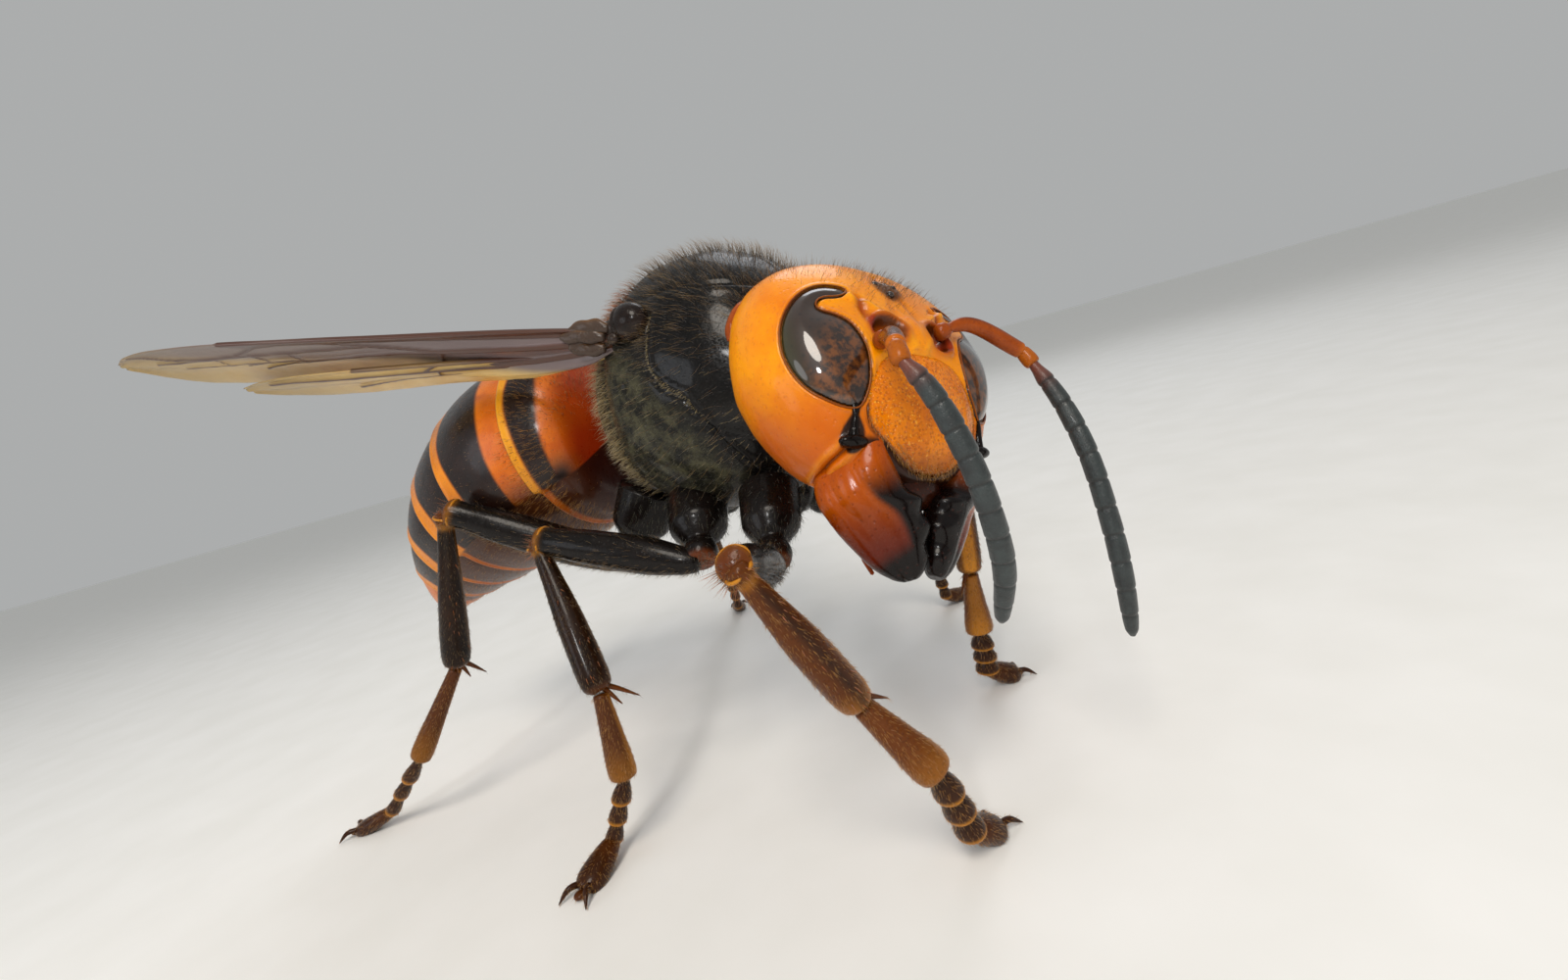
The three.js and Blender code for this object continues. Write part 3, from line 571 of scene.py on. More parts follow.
def buildHead():
    mesh, angle, share = roundMesh("head_skin", head["around"], head["rings"])
    writePoints(mesh, headForm(angle, share))
    faceOut(mesh)
    points = readPoints(mesh)
    m = headMarks(points)
    x, y, z = m["folded"].T
    brow, trench, cheek = (lineDistance(m["folded"], smoothPath(head[key], count))
                           for key, count in (("brow", 24), ("trench", 20), ("cheek", 24)))
    furrow, seam = (lineDistance(m["folded"], head[key]) for key in ("furrow", "seam"))
    crown = np.linalg.norm(points - head["crown"], axis=1)
    relief = 0.045 * hump(m["eye"], 0.13, 0.07) - 0.06 * hump(m["eye"], 0.03, 0.05)
    relief -= 0.6 * rise(-m["eye"], 0.0, 0.14)
    relief -= 0.06 * hump(m["clypeus"], 0.02, 0.06) + 0.5 * rise(-m["clypeus"], 0.03, 0.16)
    relief += 0.14 * hump(m["socket"], 0.72, 0.12) - 0.55 * rise(0.6 - m["socket"], 0, 0.3)
    # the raised shield between the feelers, its keel and the swollen brow on each side of it
    shield = hump(y, 0, 0.42) * rise(z, 0.3, 1.1) * rise(-z, -2.6, -1.2)
    relief += (0.3 * shield - 0.1 * hump(y, 0, 0.09) * rise(z, 1.7, 2.3)) * (x > 1.5) * rise(m["socket"], 0.4, 0.7)
    relief += 0.17 * hump(brow, 0, 0.17) * rise(m["socket"], 0.35, 0.6)
    relief += 0.07 * hump(cheek, 0.24, 0.13) - 0.17 * hump(cheek, 0, 0.08)
    for away, depth, width in ((furrow, -0.08, 0.16), (trench, -0.15, 0.17), (seam, -0.04, 0.07),
                               (crown, 0.1, 0.75), (m["malar"], -0.06, 0.3)):
        relief += depth * hump(away, 0, width)
    relief += 0.08 * hump(m["jaw"], -0.16, 0.11) * (x > 0.8)
    relief += 0.012 * softNoise(points, 1.1, 3)
    lifted(mesh, relief)
    points = readPoints(mesh)
    # flat seats for the mandibles at the lower corners, and the hollow that takes the neck
    m = headMarks(points)
    facing = m["facing"] * np.stack([np.ones_like(x), np.where(points[:, 1] < 0, 1, -1), np.ones_like(x)], axis=1)
    points -= facing * np.maximum(m["jaw"], 0)[:, None]
    centre, reach = (np.array(v) for v in head["hollow"])
    spot = (points - centre) / reach
    far = np.maximum(np.linalg.norm(spot, axis=1), 1e-6)
    points = np.where((far < 1)[:, None], centre + reach * spot / far[:, None], points)
    writePoints(mesh, points)
    dark = highest(0.97 * rise(0.15 + 0.3 * rise(-z, 1.5, 2.5) - m["malar"], 0, 0.08),
                   0.85 * rise(0.8 - crown, 0, 0.35) * (z > 2.4),
                   0.96 * rise(0.5 - m["clypeus"], 0, 0.12) * rise(-z, 2.35, 2.65),
                   0.8 * rise(0.66 - m["socket"], 0, 0.1),
                   0.75 * rise(0.07 - np.abs(m["eye"] - 0.03), 0, 0.04),
                   0.6 * hump(cheek, 0, 0.06),
                   0.7 * hump(m["clypeus"], 0.02, 0.07) * rise(-z, 1.6, 2.4))
    red = (0.5 * hump(furrow, 0, 0.16) + 0.9 * hump(trench, 0, 0.19) + 0.8 * hump(m["socket"], 0.6, 0.2)
           + 0.5 * rise(-x, 2.2, 2.9))
    # the low mark darkens the orange towards the bottom of the head: painted shade under its lit top
    markAll(mesh, dark=dark, red=np.clip(red, 0, 1), low=rise(-points[:, 2], -0.5, 3.2),
            pale=0.6 * hump(m["eye"], 0.13, 0.04) * rise(-points[:, 0], -1.6, -0.6),
            # the ridge mark is a painted highlight, lighter yellow along the brows and the cheek ridge
            ridge=np.clip(0.6 * hump(brow, 0, 0.16) + 0.22 * hump(cheek, 0.27, 0.12), 0, 1))
    return mesh


# the orange shell's ridge layer is a painted highlight on the brows and the cheek ridge
orangeFinish = layeredFinish(
    "orange shell", (2.2, "#f69a00", "#e07600"),
    # low: painted shade, darker orange towards the bottom of the head
    (("low", 0.85, "#bc4e00"), ("ridge", 1, "#fbb01c"), ("pale", 1, "#f4a42c"), ("red", 1, "#8e2a06"),
     ("pits", 0.25, "#b4520a"), ("dark", 1, "#0d0604")),
    pits=(0.2, 0.0, 0.35, 0.014), gloss=(0.12, 3, 0.24, 0.44), bumps=(((0.5, 4), 0.015), ((0.05, 2), 0.004)),
    subsurfaceWeight=0.12, subsurfaceScale=0.0006, subsurfaceRadius=(1.0, 0.45, 0.15),
    coatWeight=0.24, coatRoughness=0.12, specularIORLevel=0.18)
headSkin = finishPiece(buildHead(), headPlace, orangeFinish, ["head"])
print("head made")


# Plates: a fine grid cut to an outline, its edge drawn on to the outline, then laid on the head
def plateMesh(name, outline, cell, lay, thickness):
    low, high = outline.min(axis=0) - cell, outline.max(axis=0) + cell
    columns, rows = (max(4, int(round(n / cell))) for n in high - low)
    bm = bmesh.new()
    bmesh.ops.create_grid(bm, x_segments=columns, y_segments=rows, size=0.5)
    bmesh.ops.scale(bm, vec=(high[0] - low[0], high[1] - low[1], 1), verts=bm.verts)
    bmesh.ops.translate(bm, vec=((high[0] + low[0]) / 2, (high[1] + low[1]) / 2, 0), verts=bm.verts)
    flat = np.array([v.co[:] for v in bm.verts])
    far, nearX, nearY = outlineDistance(flat[:, 0], flat[:, 1], outline)
    edge = far > -cell * 0.45
    flat[edge, 0], flat[edge, 1] = nearX[edge], nearY[edge]
    for v, spot in zip(bm.verts, lay(flat[:, 0], flat[:, 1], -np.where(edge, 0, far))):
        v.co = spot
    spare = [v for v, away in zip(bm.verts, far) if away > cell * 0.72]
    bmesh.ops.delete(bm, geom=spare, context="VERTS")
    bmesh.ops.dissolve_degenerate(bm, dist=cell * 0.05, edges=bm.edges)
    bmesh.ops.recalc_face_normals(bm, faces=bm.faces)
    if sum((f.normal.x for f in bm.faces)) < 0:
        bmesh.ops.reverse_faces(bm, faces=bm.faces)
    shells = 2 * len(bm.faces)
    bmesh.ops.solidify(bm, geom=bm.faces, thickness=thickness)
    # the faces between the two shells are sorted, so that hairs find the same roots in each run
    bm.faces.index_update()
    rim = sorted(bm.faces[shells:], key=lambda face: face.calc_center_median()[:])
    order = {face: shells + i for i, face in enumerate(rim)}
    bm.faces.sort(key=lambda face: order.get(face, face.index))
    mesh = meshFrom(bm, name)
    faceOut(mesh)
    return mesh


# Eyes: a smooth lens over each outline, a little proud of the head
lens = {"lift": 0.2, "roll": 0.28, "cell": 0.055, "thickness": 0.3, "inset": 0.3, "rim": 0.032, "rimGrowth": 0.03}


def eyeLay(side):
    def lay(across, up, depth):
        spots, aim = eyeSurface(across, up, lens["inset"])
        height = lens["lift"] * (1 - np.exp(-depth / lens["roll"])) + 0.1 * rise(depth, 0.1, 1.2) - 0.05
        return (spots + aim * height[:, None]) * (1, -side, 1)
    return lay


eyeFinish = layeredFinish(
    "eye lens", "#2b190d",
    (("spots", 0.85, (0.3, "#221107", "#74400f", 0.42, 0.6)),
     (lambda tree: cells(tree, 0.3, 0.3, 0.1, (0.0, 0.7)), 1, "#120804"),
     # green: a painted greenish reflection
     ("rim", 0.9, "#0a0604"), ("green", 0.35, "#3f4a1c")),
    pits=(0.03, 0.6, 0.0, 0.0012), coatWeight=1.0, coatRoughness=0.05, coatIOR=1.6, subsurfaceWeight=0.05,
    subsurfaceScale=0.0004, subsurfaceRadius=(1.0, 0.4, 0.2), roughness=0.4, specularIORLevel=0.25)
for name, side in bothSides:
    eyeMesh = plateMesh("eye_lens_" + name, eyeLoop, lens["cell"], eyeLay(side), lens["thickness"])
    across, up, _ = eyePlane(readPoints(eyeMesh))
    # the green mark is a painted greenish reflection over the lower rear part of the eye
    markAll(eyeMesh, spots=rise(across - 0.35 * up, -0.5, 0.6), green=rise(-across - 0.3 * up, 0.1, 1.0),
            rim=rise(outlineDistance(across, up, eyeLoop)[0], -0.12, -0.03))
    finishPiece(eyeMesh, headPlace, eyeFinish, ["eye_" + name])
    # the pale rim round the eye, on the head's own surface
    line = np.vstack([eyeLoop, eyeLoop[:2]])
    rim, _ = eyeSurface(line[:, 0], line[:, 1])
    rim += (rim - rim.mean(axis=0)) * lens["rimGrowth"]
    rimMesh = tubeAlong("eye_rim_" + name, onSide(rim, -side), ((0, lens["rim"]), (1, lens["rim"])), 10, 240, count=300)
    markAll(rimMesh, dark=0.55, red=0.6)
    finishPiece(rimMesh, headPlace, orangeFinish)
print("eyes made")

# Ocelli: three small glassy eyes on the crown
ocelli = []
for y, z in head["ocelli"]:
    start = headMeets(np.array([(0.3, y, z)]), np.array([(1.0, 0.0, 0.0)]))[0]
    ocelli.append(ballMesh("ocellus", 24, 16, head["ocellus"], start + (0.0, 0, -0.01)))
ocelliMesh = joinMeshes("ocelli", ocelli)
markAll(ocelliMesh, rim=0.3)
finishPiece(ocelliMesh, headPlace, eyeFinish)

# Clypeus: the pitted shield over the mouth, with two blunt lobes on its lower edge
clypeus = {"lift": 0.06, "bulge": 0.16, "cell": 0.05, "thickness": 0.45}


def clypeusLay(across, up, depth):
    start = np.stack([np.full(len(across), 1.5), across, up], axis=1)
    spots = headMeets(start, np.tile((1.0, 0.0, 0.0), (len(start), 1)))
    height = clypeus["lift"] * (1 - np.exp(-depth / 0.12)) + clypeus["bulge"] * rise(depth, 0, 1.3)
    height += 0.09 * hump(depth, 0.14, 0.12) * rise(-up, 2.4, 3.2)
    height += 0.03 * softNoise(spots, 6, 5) * rise(depth, 0.05, 0.3) - 0.05
    spots[:, 0] += height
    return spots


def clypeusGleam(tree):
    # painted highlights: bright glints scattered over the plate, away from the dark border
    gleam = ranged(tree, grain(tree, 0.1, 2), 0.63, 0.7, (0.0, 0.6))
    return sums(tree, "MULTIPLY", gleam, sums(tree, "SUBTRACT", 1.0, marked(tree, "dark")))


clypeusFinish = layeredFinish(
    "pitted shell", (1.2, "#ee8600", "#ca6600"),
    (("dark", 1, "#3a1606"), ("pits", 0.4, "#9c4a00"), (clypeusGleam, 1, "#ffc040")),
    pits=(0.12, 0.05, 0.5, 0.035), gloss=(0.1, 3, 0.12, 0.26), bumps=(((0.12, 2), 0.018),),
    subsurfaceWeight=0.1, subsurfaceScale=0.0005, subsurfaceRadius=(1.0, 0.45, 0.15),
    coatWeight=0.35, coatRoughness=0.06, specularIORLevel=0.15)
clypeusMesh = plateMesh("clypeus_plate", clypeusLoop, clypeus["cell"], clypeusLay, clypeus["thickness"])
_, across, up = readPoints(clypeusMesh).T
edge = -outlineDistance(across, up, clypeusLoop)[0]
# dark: the plate's black lower border, and painted shadow darkening the bottom of the plate
dark = 0.95 * rise(0.13 - edge, 0, 0.09) * rise(-up, 0.8, 1.6) + 0.6 * rise(-up, 2.6, 3.7)
markAll(clypeusMesh, share=up / 10 + 0.5, round=across, dark=np.clip(dark, 0, 1))
clypeusPlate = finishPiece(clypeusMesh, headPlace, clypeusFinish, ["clypeus"])
print("clypeus made")

# Mandibles: outer edge, inner edge and half thickness from base to tip, for the left one
mandible = {
    "rows": (
        (1.45, 2.55, -2.9, 3.7, 1.75, -1.9, 0.7), (1.45, 2.8, -3.7, 4.0, 1.75, -3.05, 0.85),
        (1.65, 2.85, -4.5, 4.1, 1.25, -4.0, 0.9), (2.0, 2.6, -5.25, 4.1, 0.5, -4.6, 0.88),
        (2.4, 2.15, -6.0, 4.0, 0.22, -5.3, 0.8), (2.75, 1.45, -6.75, 3.9, 0.2, -6.2, 0.6),
        (3.1, 0.8, -7.15, 3.75, 0.25, -6.95, 0.35),
    ),
    "around": 96,
    "rings": 110,
}


def mandibleMesh(name, side):
    path = smoothPath(mandible["rows"], 200)
    mesh, angle, share = roundMesh("mandible_" + name + "_jaw", mandible["around"], mandible["rings"])
    row = readRows(np.clip(share * 1.04 - 0.02, 0, 1), np.linspace(0, 1, len(path)), path)
    outer, inner, depth = onSide(row[:, :3], side), onSide(row[:, 3:6], side), row[:, 6]
    a = (inner - outer) / 2
    b = unit(np.cross(a, (0.2, -0.5 * side, -1.0)))
    b[b[:, 0] < 0] *= -1
    closing = np.sqrt(np.clip(1 - (np.maximum(0, share - 0.94) / 0.06) ** 2, 0.0, 1))
    closing *= np.sqrt(np.clip(1 - (np.maximum(0, 0.03 - share) / 0.03) ** 2, 0.0, 1))
    c, s = np.cos(angle), np.sin(angle)
    thick = depth * (1 - 0.12 * hump(c, 0.25, 0.14) - 0.1 * hump(c, -0.3, 0.14)) * np.where(s > 0, 1, 0.9)
    bite = 0.07 * np.sin(share * 30) * rise(c, 0.55, 0.95) * rise(share, 0.3, 0.5)
    points = (outer + inner) / 2 + a * (swell(c, 2.3) * (1 + bite) * closing)[:, None]
    points += b * (swell(s, 2.2) * thick * closing)[:, None]
    writePoints(mesh, points)
    faceOut(mesh)
    lifted(mesh, 0.012 * softNoise(points, 5, 8))
    dark = highest(rise(c, 0.3, 0.5) * rise(share, 0.16, 0.4), rise(share + 0.06 * c, 0.7, 0.82),
                   0.8 * (1 - rise(s, -0.6, 0.2)))
    markAll(mesh, dark=np.clip(dark, 0, 1), low=rise(share, 0.2, 0.75))
    return mesh


jawFinish = layeredFinish(
    "jaw shell", (1.0, "#b45202", "#983c02", 0.35, 0.7, 4, 0.6, (1, 1, 0.4)),
    (("low", 1, "#5a1802"), ("dark", 1, "#0c0504"), ("pits", 0.35, "#4c1806")),
    pits=(0.22, 0.03, 0.3, 0.02), gloss=(0.15, 3, 0.16, 0.36), bumps=(((0.4, 4), 0.008),),
    subsurfaceWeight=0.06, subsurfaceScale=0.0005, subsurfaceRadius=(1.0, 0.35, 0.1),
    coatWeight=0.2, coatRoughness=0.12, specularIORLevel=0.15)
for name, side in bothSides:
    finishPiece(mandibleMesh(name, side), headPlace, jawFinish, ["mandible_" + name])


# Brown and black shell for legs, feelers' bases, mouth and wing hinges
def darkShell(name, low, high, rust, roughness):
    # gold: golden pile and edges, and also painted golden highlights on the legs and the hinge plates
    return layeredFinish(
        name, (1.1, low, high), (("rust", 1, rust), ("gold", 1, "#d38a26"), ("dark", 1, "#0b0706"), ("pits", 0.4, low)),
        pits=(0.16, 0.03, 0.35, 0.012), gloss=(0.2, 3, *roughness), bumps=(((0.4, 4), 0.02), ((0.06, 2), 0.003)),
        coatWeight=0.16, coatRoughness=0.1, specularIORLevel=0.12,
        subsurfaceWeight=0.04, subsurfaceScale=0.0004, subsurfaceRadius=(1.0, 0.4, 0.2))


rustFinish = darkShell("rust shell", "#74290a", "#9a4410", "#c86c1a", (0.16, 0.35))
brownFinish = darkShell("brown shell", "#160c05", "#2a1608", "#723a0b", (0.2, 0.42))
blackFinish = darkShell("black shell", "#0b0807", "#16100d", "#8a4316", (0.18, 0.4))
glossFinish = darkShell("black gloss", "#0a0605", "#140c09", "#3a1808", (0.08, 0.2))
hingeFinish = darkShell("hinge shell", "#120c0a", "#261c18", "#5e4e44", (0.14, 0.34))

# Jaw hinges: the glossy black knob below each eye, with the fold of shell that holds it, and the nape's rims
jawHinge = {
    "knob": (3.56, 2.74, -2.66),
    "size": (0.32, 0.58, 0.25),
    "fold": ((3.68, 2.66, -1.4), (3.68, 2.74, -1.8), (3.62, 2.78, -2.3), (3.54, 2.8, -2.7)),
    "foldRows": ((0, 0.19, 0.08), (0.45, 0.13, 0.12), (1, 0.26, 0.2)),
    "rim": ((-1.88, 3.22, 3.76), (-1.6, 4.05, 3.09), (-1.38, 4.48, 2.36), (-1.25, 4.62, 1.8)),
    "rimRows": ((0, 0.08, 0.1), (0.3, 0.2, 0.3), (0.75, 0.22, 0.3), (1, 0.08, 0.1)),
}
for name, side in bothSides:
    knob = ballMesh("jaw_hinge_" + name, 40, 28, jawHinge["size"], onSide(jawHinge["knob"], side))
    fold = tubeAlong("fold", onSide(jawHinge["fold"], side), jawHinge["foldRows"], 24, 40)
    finishPiece(joinMeshes("jaw_hinge_" + name, [knob, fold]), headPlace, glossFinish)
    rim = tubeAlong("nape_rim_" + name, onSide(jawHinge["rim"], side), jawHinge["rimRows"], 16, 60)
    markAll(rim, rust=0.15, dark=0.35 * rise(-shareOf(rim), -0.3, 0.0))
    finishPiece(rim, headPlace, rustFinish)

# Mouthparts: the folded tongue behind the jaws, with two pairs of jointed palps, and the lip
mouth = {
    "tongue": ((0.9, 0, -3.35), (1.1, 0, -4.4), (1.3, 0, -5.5)),
    "tongueRows": ((0, 0.9, 0.5), (0.3, 0.95, 0.55), (0.7, 0.6, 0.4), (1, 0.3, 0.2)),
    "palps": (
        ((1.2, 0.7, -4.1), (1.35, 1.15, -5.2), (1.75, 1.2, -6.2), (2.0, 0.95, -6.9)),
        ((1.3, 0.3, -4.9), (1.5, 0.5, -5.8), (1.85, 0.45, -6.6)),
    ),
    "palpRows": ((0, 0.1), (0.5, 0.12), (1, 0.07)),
    "lip": ((0.5, 1.15, 0.75), (3.25, 0, -4.05)),
}
mouthMeshes = [tubeAlong("tongue", mouth["tongue"], mouth["tongueRows"], 36, 40)]
for _, side in bothSides:
    for palp in mouth["palps"]:
        mouthMeshes.append(tubeAlong("palp", onSide(palp, side), mouth["palpRows"], 14, 60,
                                     lambda share, angle: -0.35 * hump(share * 4 % 1, 0, 0.12)))
lip = ballMesh("lip", 48, 30, *mouth["lip"])
markAll(lip, dark=0.9)
finishPiece(joinMeshes("mouthpart_folds", [*mouthMeshes, lip]), headPlace, rustFinish, ["mouthparts"])
print("jaws and mouth made")

# Feelers: the scape, then eleven joints that swell towards their ends
feelers = {
    "right": {
        "scape": ((11.04, -3.17, 18.29), (12.25, -4.5, 18.3), (13.15, -5.85, 17.95)),
        "flagellum": ((13.3, -6.05, 17.6), (13.92, -5.96, 16.47), (14.44, -5.83, 14.68),
                      (14.62, -5.6, 12.89), (14.43, -5.19, 10.98), (13.7, -4.73, 9.07)),
        # dusk: how strongly painted shade darkens the upper side of this scape
        "dusk": 0.75,
    },
    "left": {
        "scape": ((11.45, -0.22, 18.02), (12.1, 1.0, 18.05), (13.2, 2.6, 16.55)),
        "flagellum": ((13.45, 2.55, 16.15), (14.32, 2.29, 14.47), (14.96, 1.96, 12.58),
                      (15.3, 1.7, 10.2), (15.45, 1.42, 7.8), (15.28, 1.58, 5.66)),
        "dusk": 0.4,
    },
    "scapeRows": ((0, 0.22), (0.05, 0.32), (0.11, 0.3), (0.16, 0.19), (0.28, 0.25), (0.75, 0.31),
                  (0.96, 0.3), (1, 0.2)),
    "pedicelRows": ((0, 0.16), (0.25, 0.27), (0.7, 0.3), (0.92, 0.27), (1, 0.15)),
    "whipRows": ((0, 0.2), (0.03, 0.26), (0.09, 0.31), (0.3, 0.36), (0.7, 0.36), (0.9, 0.3), (0.97, 0.23), (1, 0.08)),
    "joints": 11,
}


def flagellumRelief(share, angle):
    # each joint is narrow where it grows from the last and widest just before its end
    at = share * feelers["joints"]
    part = at % 1
    neck = -0.14 * hump(part, 0, 0.08) - 0.08 * hump(part, 1, 0.04) - 0.04 * (1 - part)
    thin = -0.2 * np.where(at < 1, 1 - rise(part, 0.3, 0.9), 0)
    return neck + thin + 0.015 * np.cos(angle * 3 + at)


feelerFinish = layeredFinish(
    "feeler bloom", (0.5, "#191f20", "#2c3535"), (("rust", 0.85, "#6e2d12"), ("dark", 1, "#0c0c0c")),
    pits=(0.07, 0.0, 0.5, 0.008), gloss=(0.1, 3, 0.35, 0.6), bumps=(((0.2, 3), 0.01),),
    sheenWeight=0.15, sheenRoughness=0.5, coatWeight=0.1)
for name, _ in bothSides:
    rod, whipPath = (np.array(feelers[name][key]) for key in ("scape", "flagellum"))
    scape = tubeAlong("scape", rod, feelers["scapeRows"], 40, 90)
    share = shareOf(scape)
    # dark: painted shade over the scape's upper side, stronger on the right feeler than on the left
    markAll(scape, rust=0.12 + 0.7 * rise(share, 0.9, 1.0), dark=feelers[name]["dusk"]
            * rise(readNormals(scape)[:, 2], 0.2, 0.8) * rise(share, 0.2, 0.4) * rise(-share, -0.97, -0.9))
    into = unit(whipPath[0] - rod[-1])
    pedicel = tubeAlong("pedicel", [rod[-1] - into * 0.15, whipPath[0] + into * 0.2], feelers["pedicelRows"], 32, 30)
    markAll(pedicel, rust=0.75, dark=0.25)
    finishPiece(joinMeshes("scape_rod_" + name, [scape, pedicel]), floorPlace, rustFinish,
                ["scape_" + name])
    whip = tubeAlong("flagellum_joints_" + name, whipPath, feelers["whipRows"], 32, 220, flagellumRelief, count=260)
    part = shareOf(whip) * feelers["joints"] % 1
    markAll(whip, rust=rise(-shareOf(whip), -0.14, -0.02), dark=0.8 * hump(part, 0, 0.07) + 0.8 * hump(part, 1, 0.05))
    finishPiece(whip, floorPlace, feelerFinish, ["flagellum_" + name])
print("feelers made")

# Thorax: rows of x, top, bottom and half width in the body's frame, and the lines where its plates meet
thorax = {
    "profile": (
        (6.6, 0.2, 0.2, 0), (6.3, 1.7, -1.3, 1.7), (5.6, 3.0, -3.0, 2.9), (4.4, 4.45, -4.3, 3.9),
        (2.8, 5.5, -5.1, 4.65), (0.8, 6.0, -5.5, 5.1), (-1.2, 5.85, -5.4, 5.05),
        (-2.9, 5.0, -4.9, 4.5), (-4.4, 3.9, -4.2, 3.8), (-5.6, 2.4, -3.3, 2.9),
        (-6.3, 0.7, -2.5, 1.7), (-6.6, -1.0, -1.0, 0),
    ),
    "square": 2.15,
    "around": 260,
    "rings": 220,
    "shield": (-0.4, 5.3, 4.05),
    "shieldScale": 4.4,
    "sideLine": ((0.7, 9), (0.75, 3.2), (0.85, 1.9), (1.05, 0.95), (1.6, 0.3), (2.6, -0.2), (3.5, -1.4),
                 (4.2, -2.7), (4.8, -4.2), (5.0, -9)),
    "rearLine": ((-3.7, 9), (-3.6, 3.4), (-2.7, 0.6), (-2.3, -2), (-2.1, -9)),
    "pleuron": ((1.75, 0.4), (0.4, 1.1), (-1.2, 1.5), (-2.6, 2.4)),
    "neck": ((5.4, 0, -0.3), (8.1, 0, -0.3)),
    "neckRows": ((0, 1.3), (0.2, 1.55), (0.6, 1.35), (1, 1.1)),
}


def thoraxForm(angle, share):
    front, rear = thorax["profile"][0][0], thorax["profile"][-1][0]
    x = front + (rear - front) * (1 - np.cos(math.pi * share)) / 2
    top, bottom, half = smoothRows(thorax["profile"], x).T
    y = half * swell(np.cos(angle), thorax["square"])
    z = (top + bottom) / 2 + (top - bottom) / 2 * swell(np.sin(angle), thorax["square"])
    return np.stack([x, y, z], axis=1)


def sideDistance(x, z, line):
    # distance to a line in the side view
    return lineDistance(np.stack([x, 0 * x, z], axis=1), [(a, 0, b) for a, b in line])


def planeLine(x, z, line):
    # the same with a sign: more than nothing in front of the line
    across, up = np.transpose(line[::-1])
    return sideDistance(x, z, line) * np.where(x > np.interp(z, up, across), 1, -1)


def thoraxMarks(points):
    # the distances from the edge of the back's shield and from the seams of the flank
    x, y, z = points.T
    middle, long, wide = thorax["shield"]
    return {"ring": (np.hypot((x - middle) / long, y / wide) - 1) * thorax["shieldScale"],
            "side": planeLine(x, z, thorax["sideLine"]), "rear": planeLine(x, z, thorax["rearLine"]),
            "upper": rise(z, 0.8, 1.8), "flank": rise(np.abs(y), 2.2, 3.2)}


def buildThorax():
    mesh, angle, share = roundMesh("thorax_skin", thorax["around"], thorax["rings"])
    writePoints(mesh, thoraxForm(angle, share))
    faceOut(mesh)
    points = readPoints(mesh)
    x, y, z = points.T
    m = thoraxMarks(points)
    flank, ahead, back = m["flank"], m["upper"] * rise(x, -0.2, 0.9), rise(z, 1.6, 2.8)
    low = flank * (1 - rise(z, 2.8, 3.4))
    stripe = rise(x, -1.6, -1.0) * rise(-x, -2.4, -1.8) * back
    relief = 0.03 * softNoise(points, 1.4, 11)
    # height, distance, width and reach of every seam, groove and swelling
    for height, away, width, reach in (
        (-0.12, m["ring"], 0.09, ahead), (0.05, m["ring"] - 0.2, 0.14, ahead),
        (-0.07, m["ring"], 0.08, m["upper"] * rise(-x, -0.6, 0.2) * rise(x, -3.2, -2.6)),
        (-0.16, m["side"] + 0.04, 0.1, low), (0.09, m["side"] - 0.16, 0.13, low), (-0.12, m["rear"], 0.1, flank),
        (-0.2, x + 2.75 + 0.05 * y**2, 0.12, back), (0.16, np.hypot(x + 3.35, y * 0.45), 0.75, back),
        (-0.14, x + 4.15 - 0.03 * y**2, 0.1, back), (0.1, x + 4.45, 0.22, back * rise(-np.abs(y), -2.8, -1.8)),
        (-0.12, x + 4.85, 0.1, back), (-0.06, y, 0.1, rise(-x, 2.9, 3.2) * back),
        (-0.1, y, 0.28, rise(-x, 4.9, 5.6)), (-0.03, y + 1.55, 0.06, stripe), (-0.03, y - 1.55, 0.06, stripe),
        (-0.035, y, 0.07, rise(x, 1.2, 1.8) * rise(-x, -4.5, -4.0) * back),
        (-0.1, sideDistance(x, z, thorax["pleuron"]), 0.12, flank * (x < 1.7)),
        (-0.12, np.hypot(x + 0.6, z - 0.35), 0.22, flank),
        (-0.09, z + 0.6 + 0.25 * x, 0.12, flank * rise(x, 2.2, 3.0)), (-0.2, y, 0.3, rise(-z, 3.5, 4.4)),
    ):
        relief += height * hump(away, 0, width) * reach
    lifted(mesh, relief)
    dust = flank * rise(-m["side"], 0.1, 1.3) * rise(-z, -2.6, -0.6) * rise(z, -4.9, -3.6)
    markAll(mesh, dust=np.clip(highest(dust, 0.35 * rise(-x, 4.6, 5.4)), 0, 1),
            gloss=rise(m["side"], 0.2, 0.6) * rise(m["ring"], 0, 0.4),
            seam=np.clip(hump(m["ring"], 0, 0.08) * ahead + hump(m["side"], 0, 0.08) * low, 0, 1))
    neck = tubeAlong("neck", thorax["neck"], thorax["neckRows"], 60, 40,
                     lambda share, angle: 0.04 * np.sin(share * 40))
    return joinMeshes("thorax_skin", [mesh, neck])


thoraxFinish = layeredFinish(
    "thorax shell", (1.3, "#060505", "#110e0b"),
    (("dust", 1, (0.9, "#12110b", "#4a4733", 0.42, 0.62, 5, 0.75)), ("seam", 0.8, "#060505"), ("pits", 0.5, "#050404")),
    pits=(0.13, 0.03, 0.4, 0.03), gloss=(0.2, 3, 0.26, 0.44), shine=(("dust", 0.3), ("gloss", -0.14)),
    bumps=(((0.45, 4), 0.03), ((0.08, 3), 0.012)), coatWeight=0.26, coatRoughness=0.1, specularIORLevel=0.12)
thoraxSkin = finishPiece(buildThorax(), bodyPlace, thoraxFinish, ["pronotum", "mesothorax", "propodeum"])
print("thorax made")

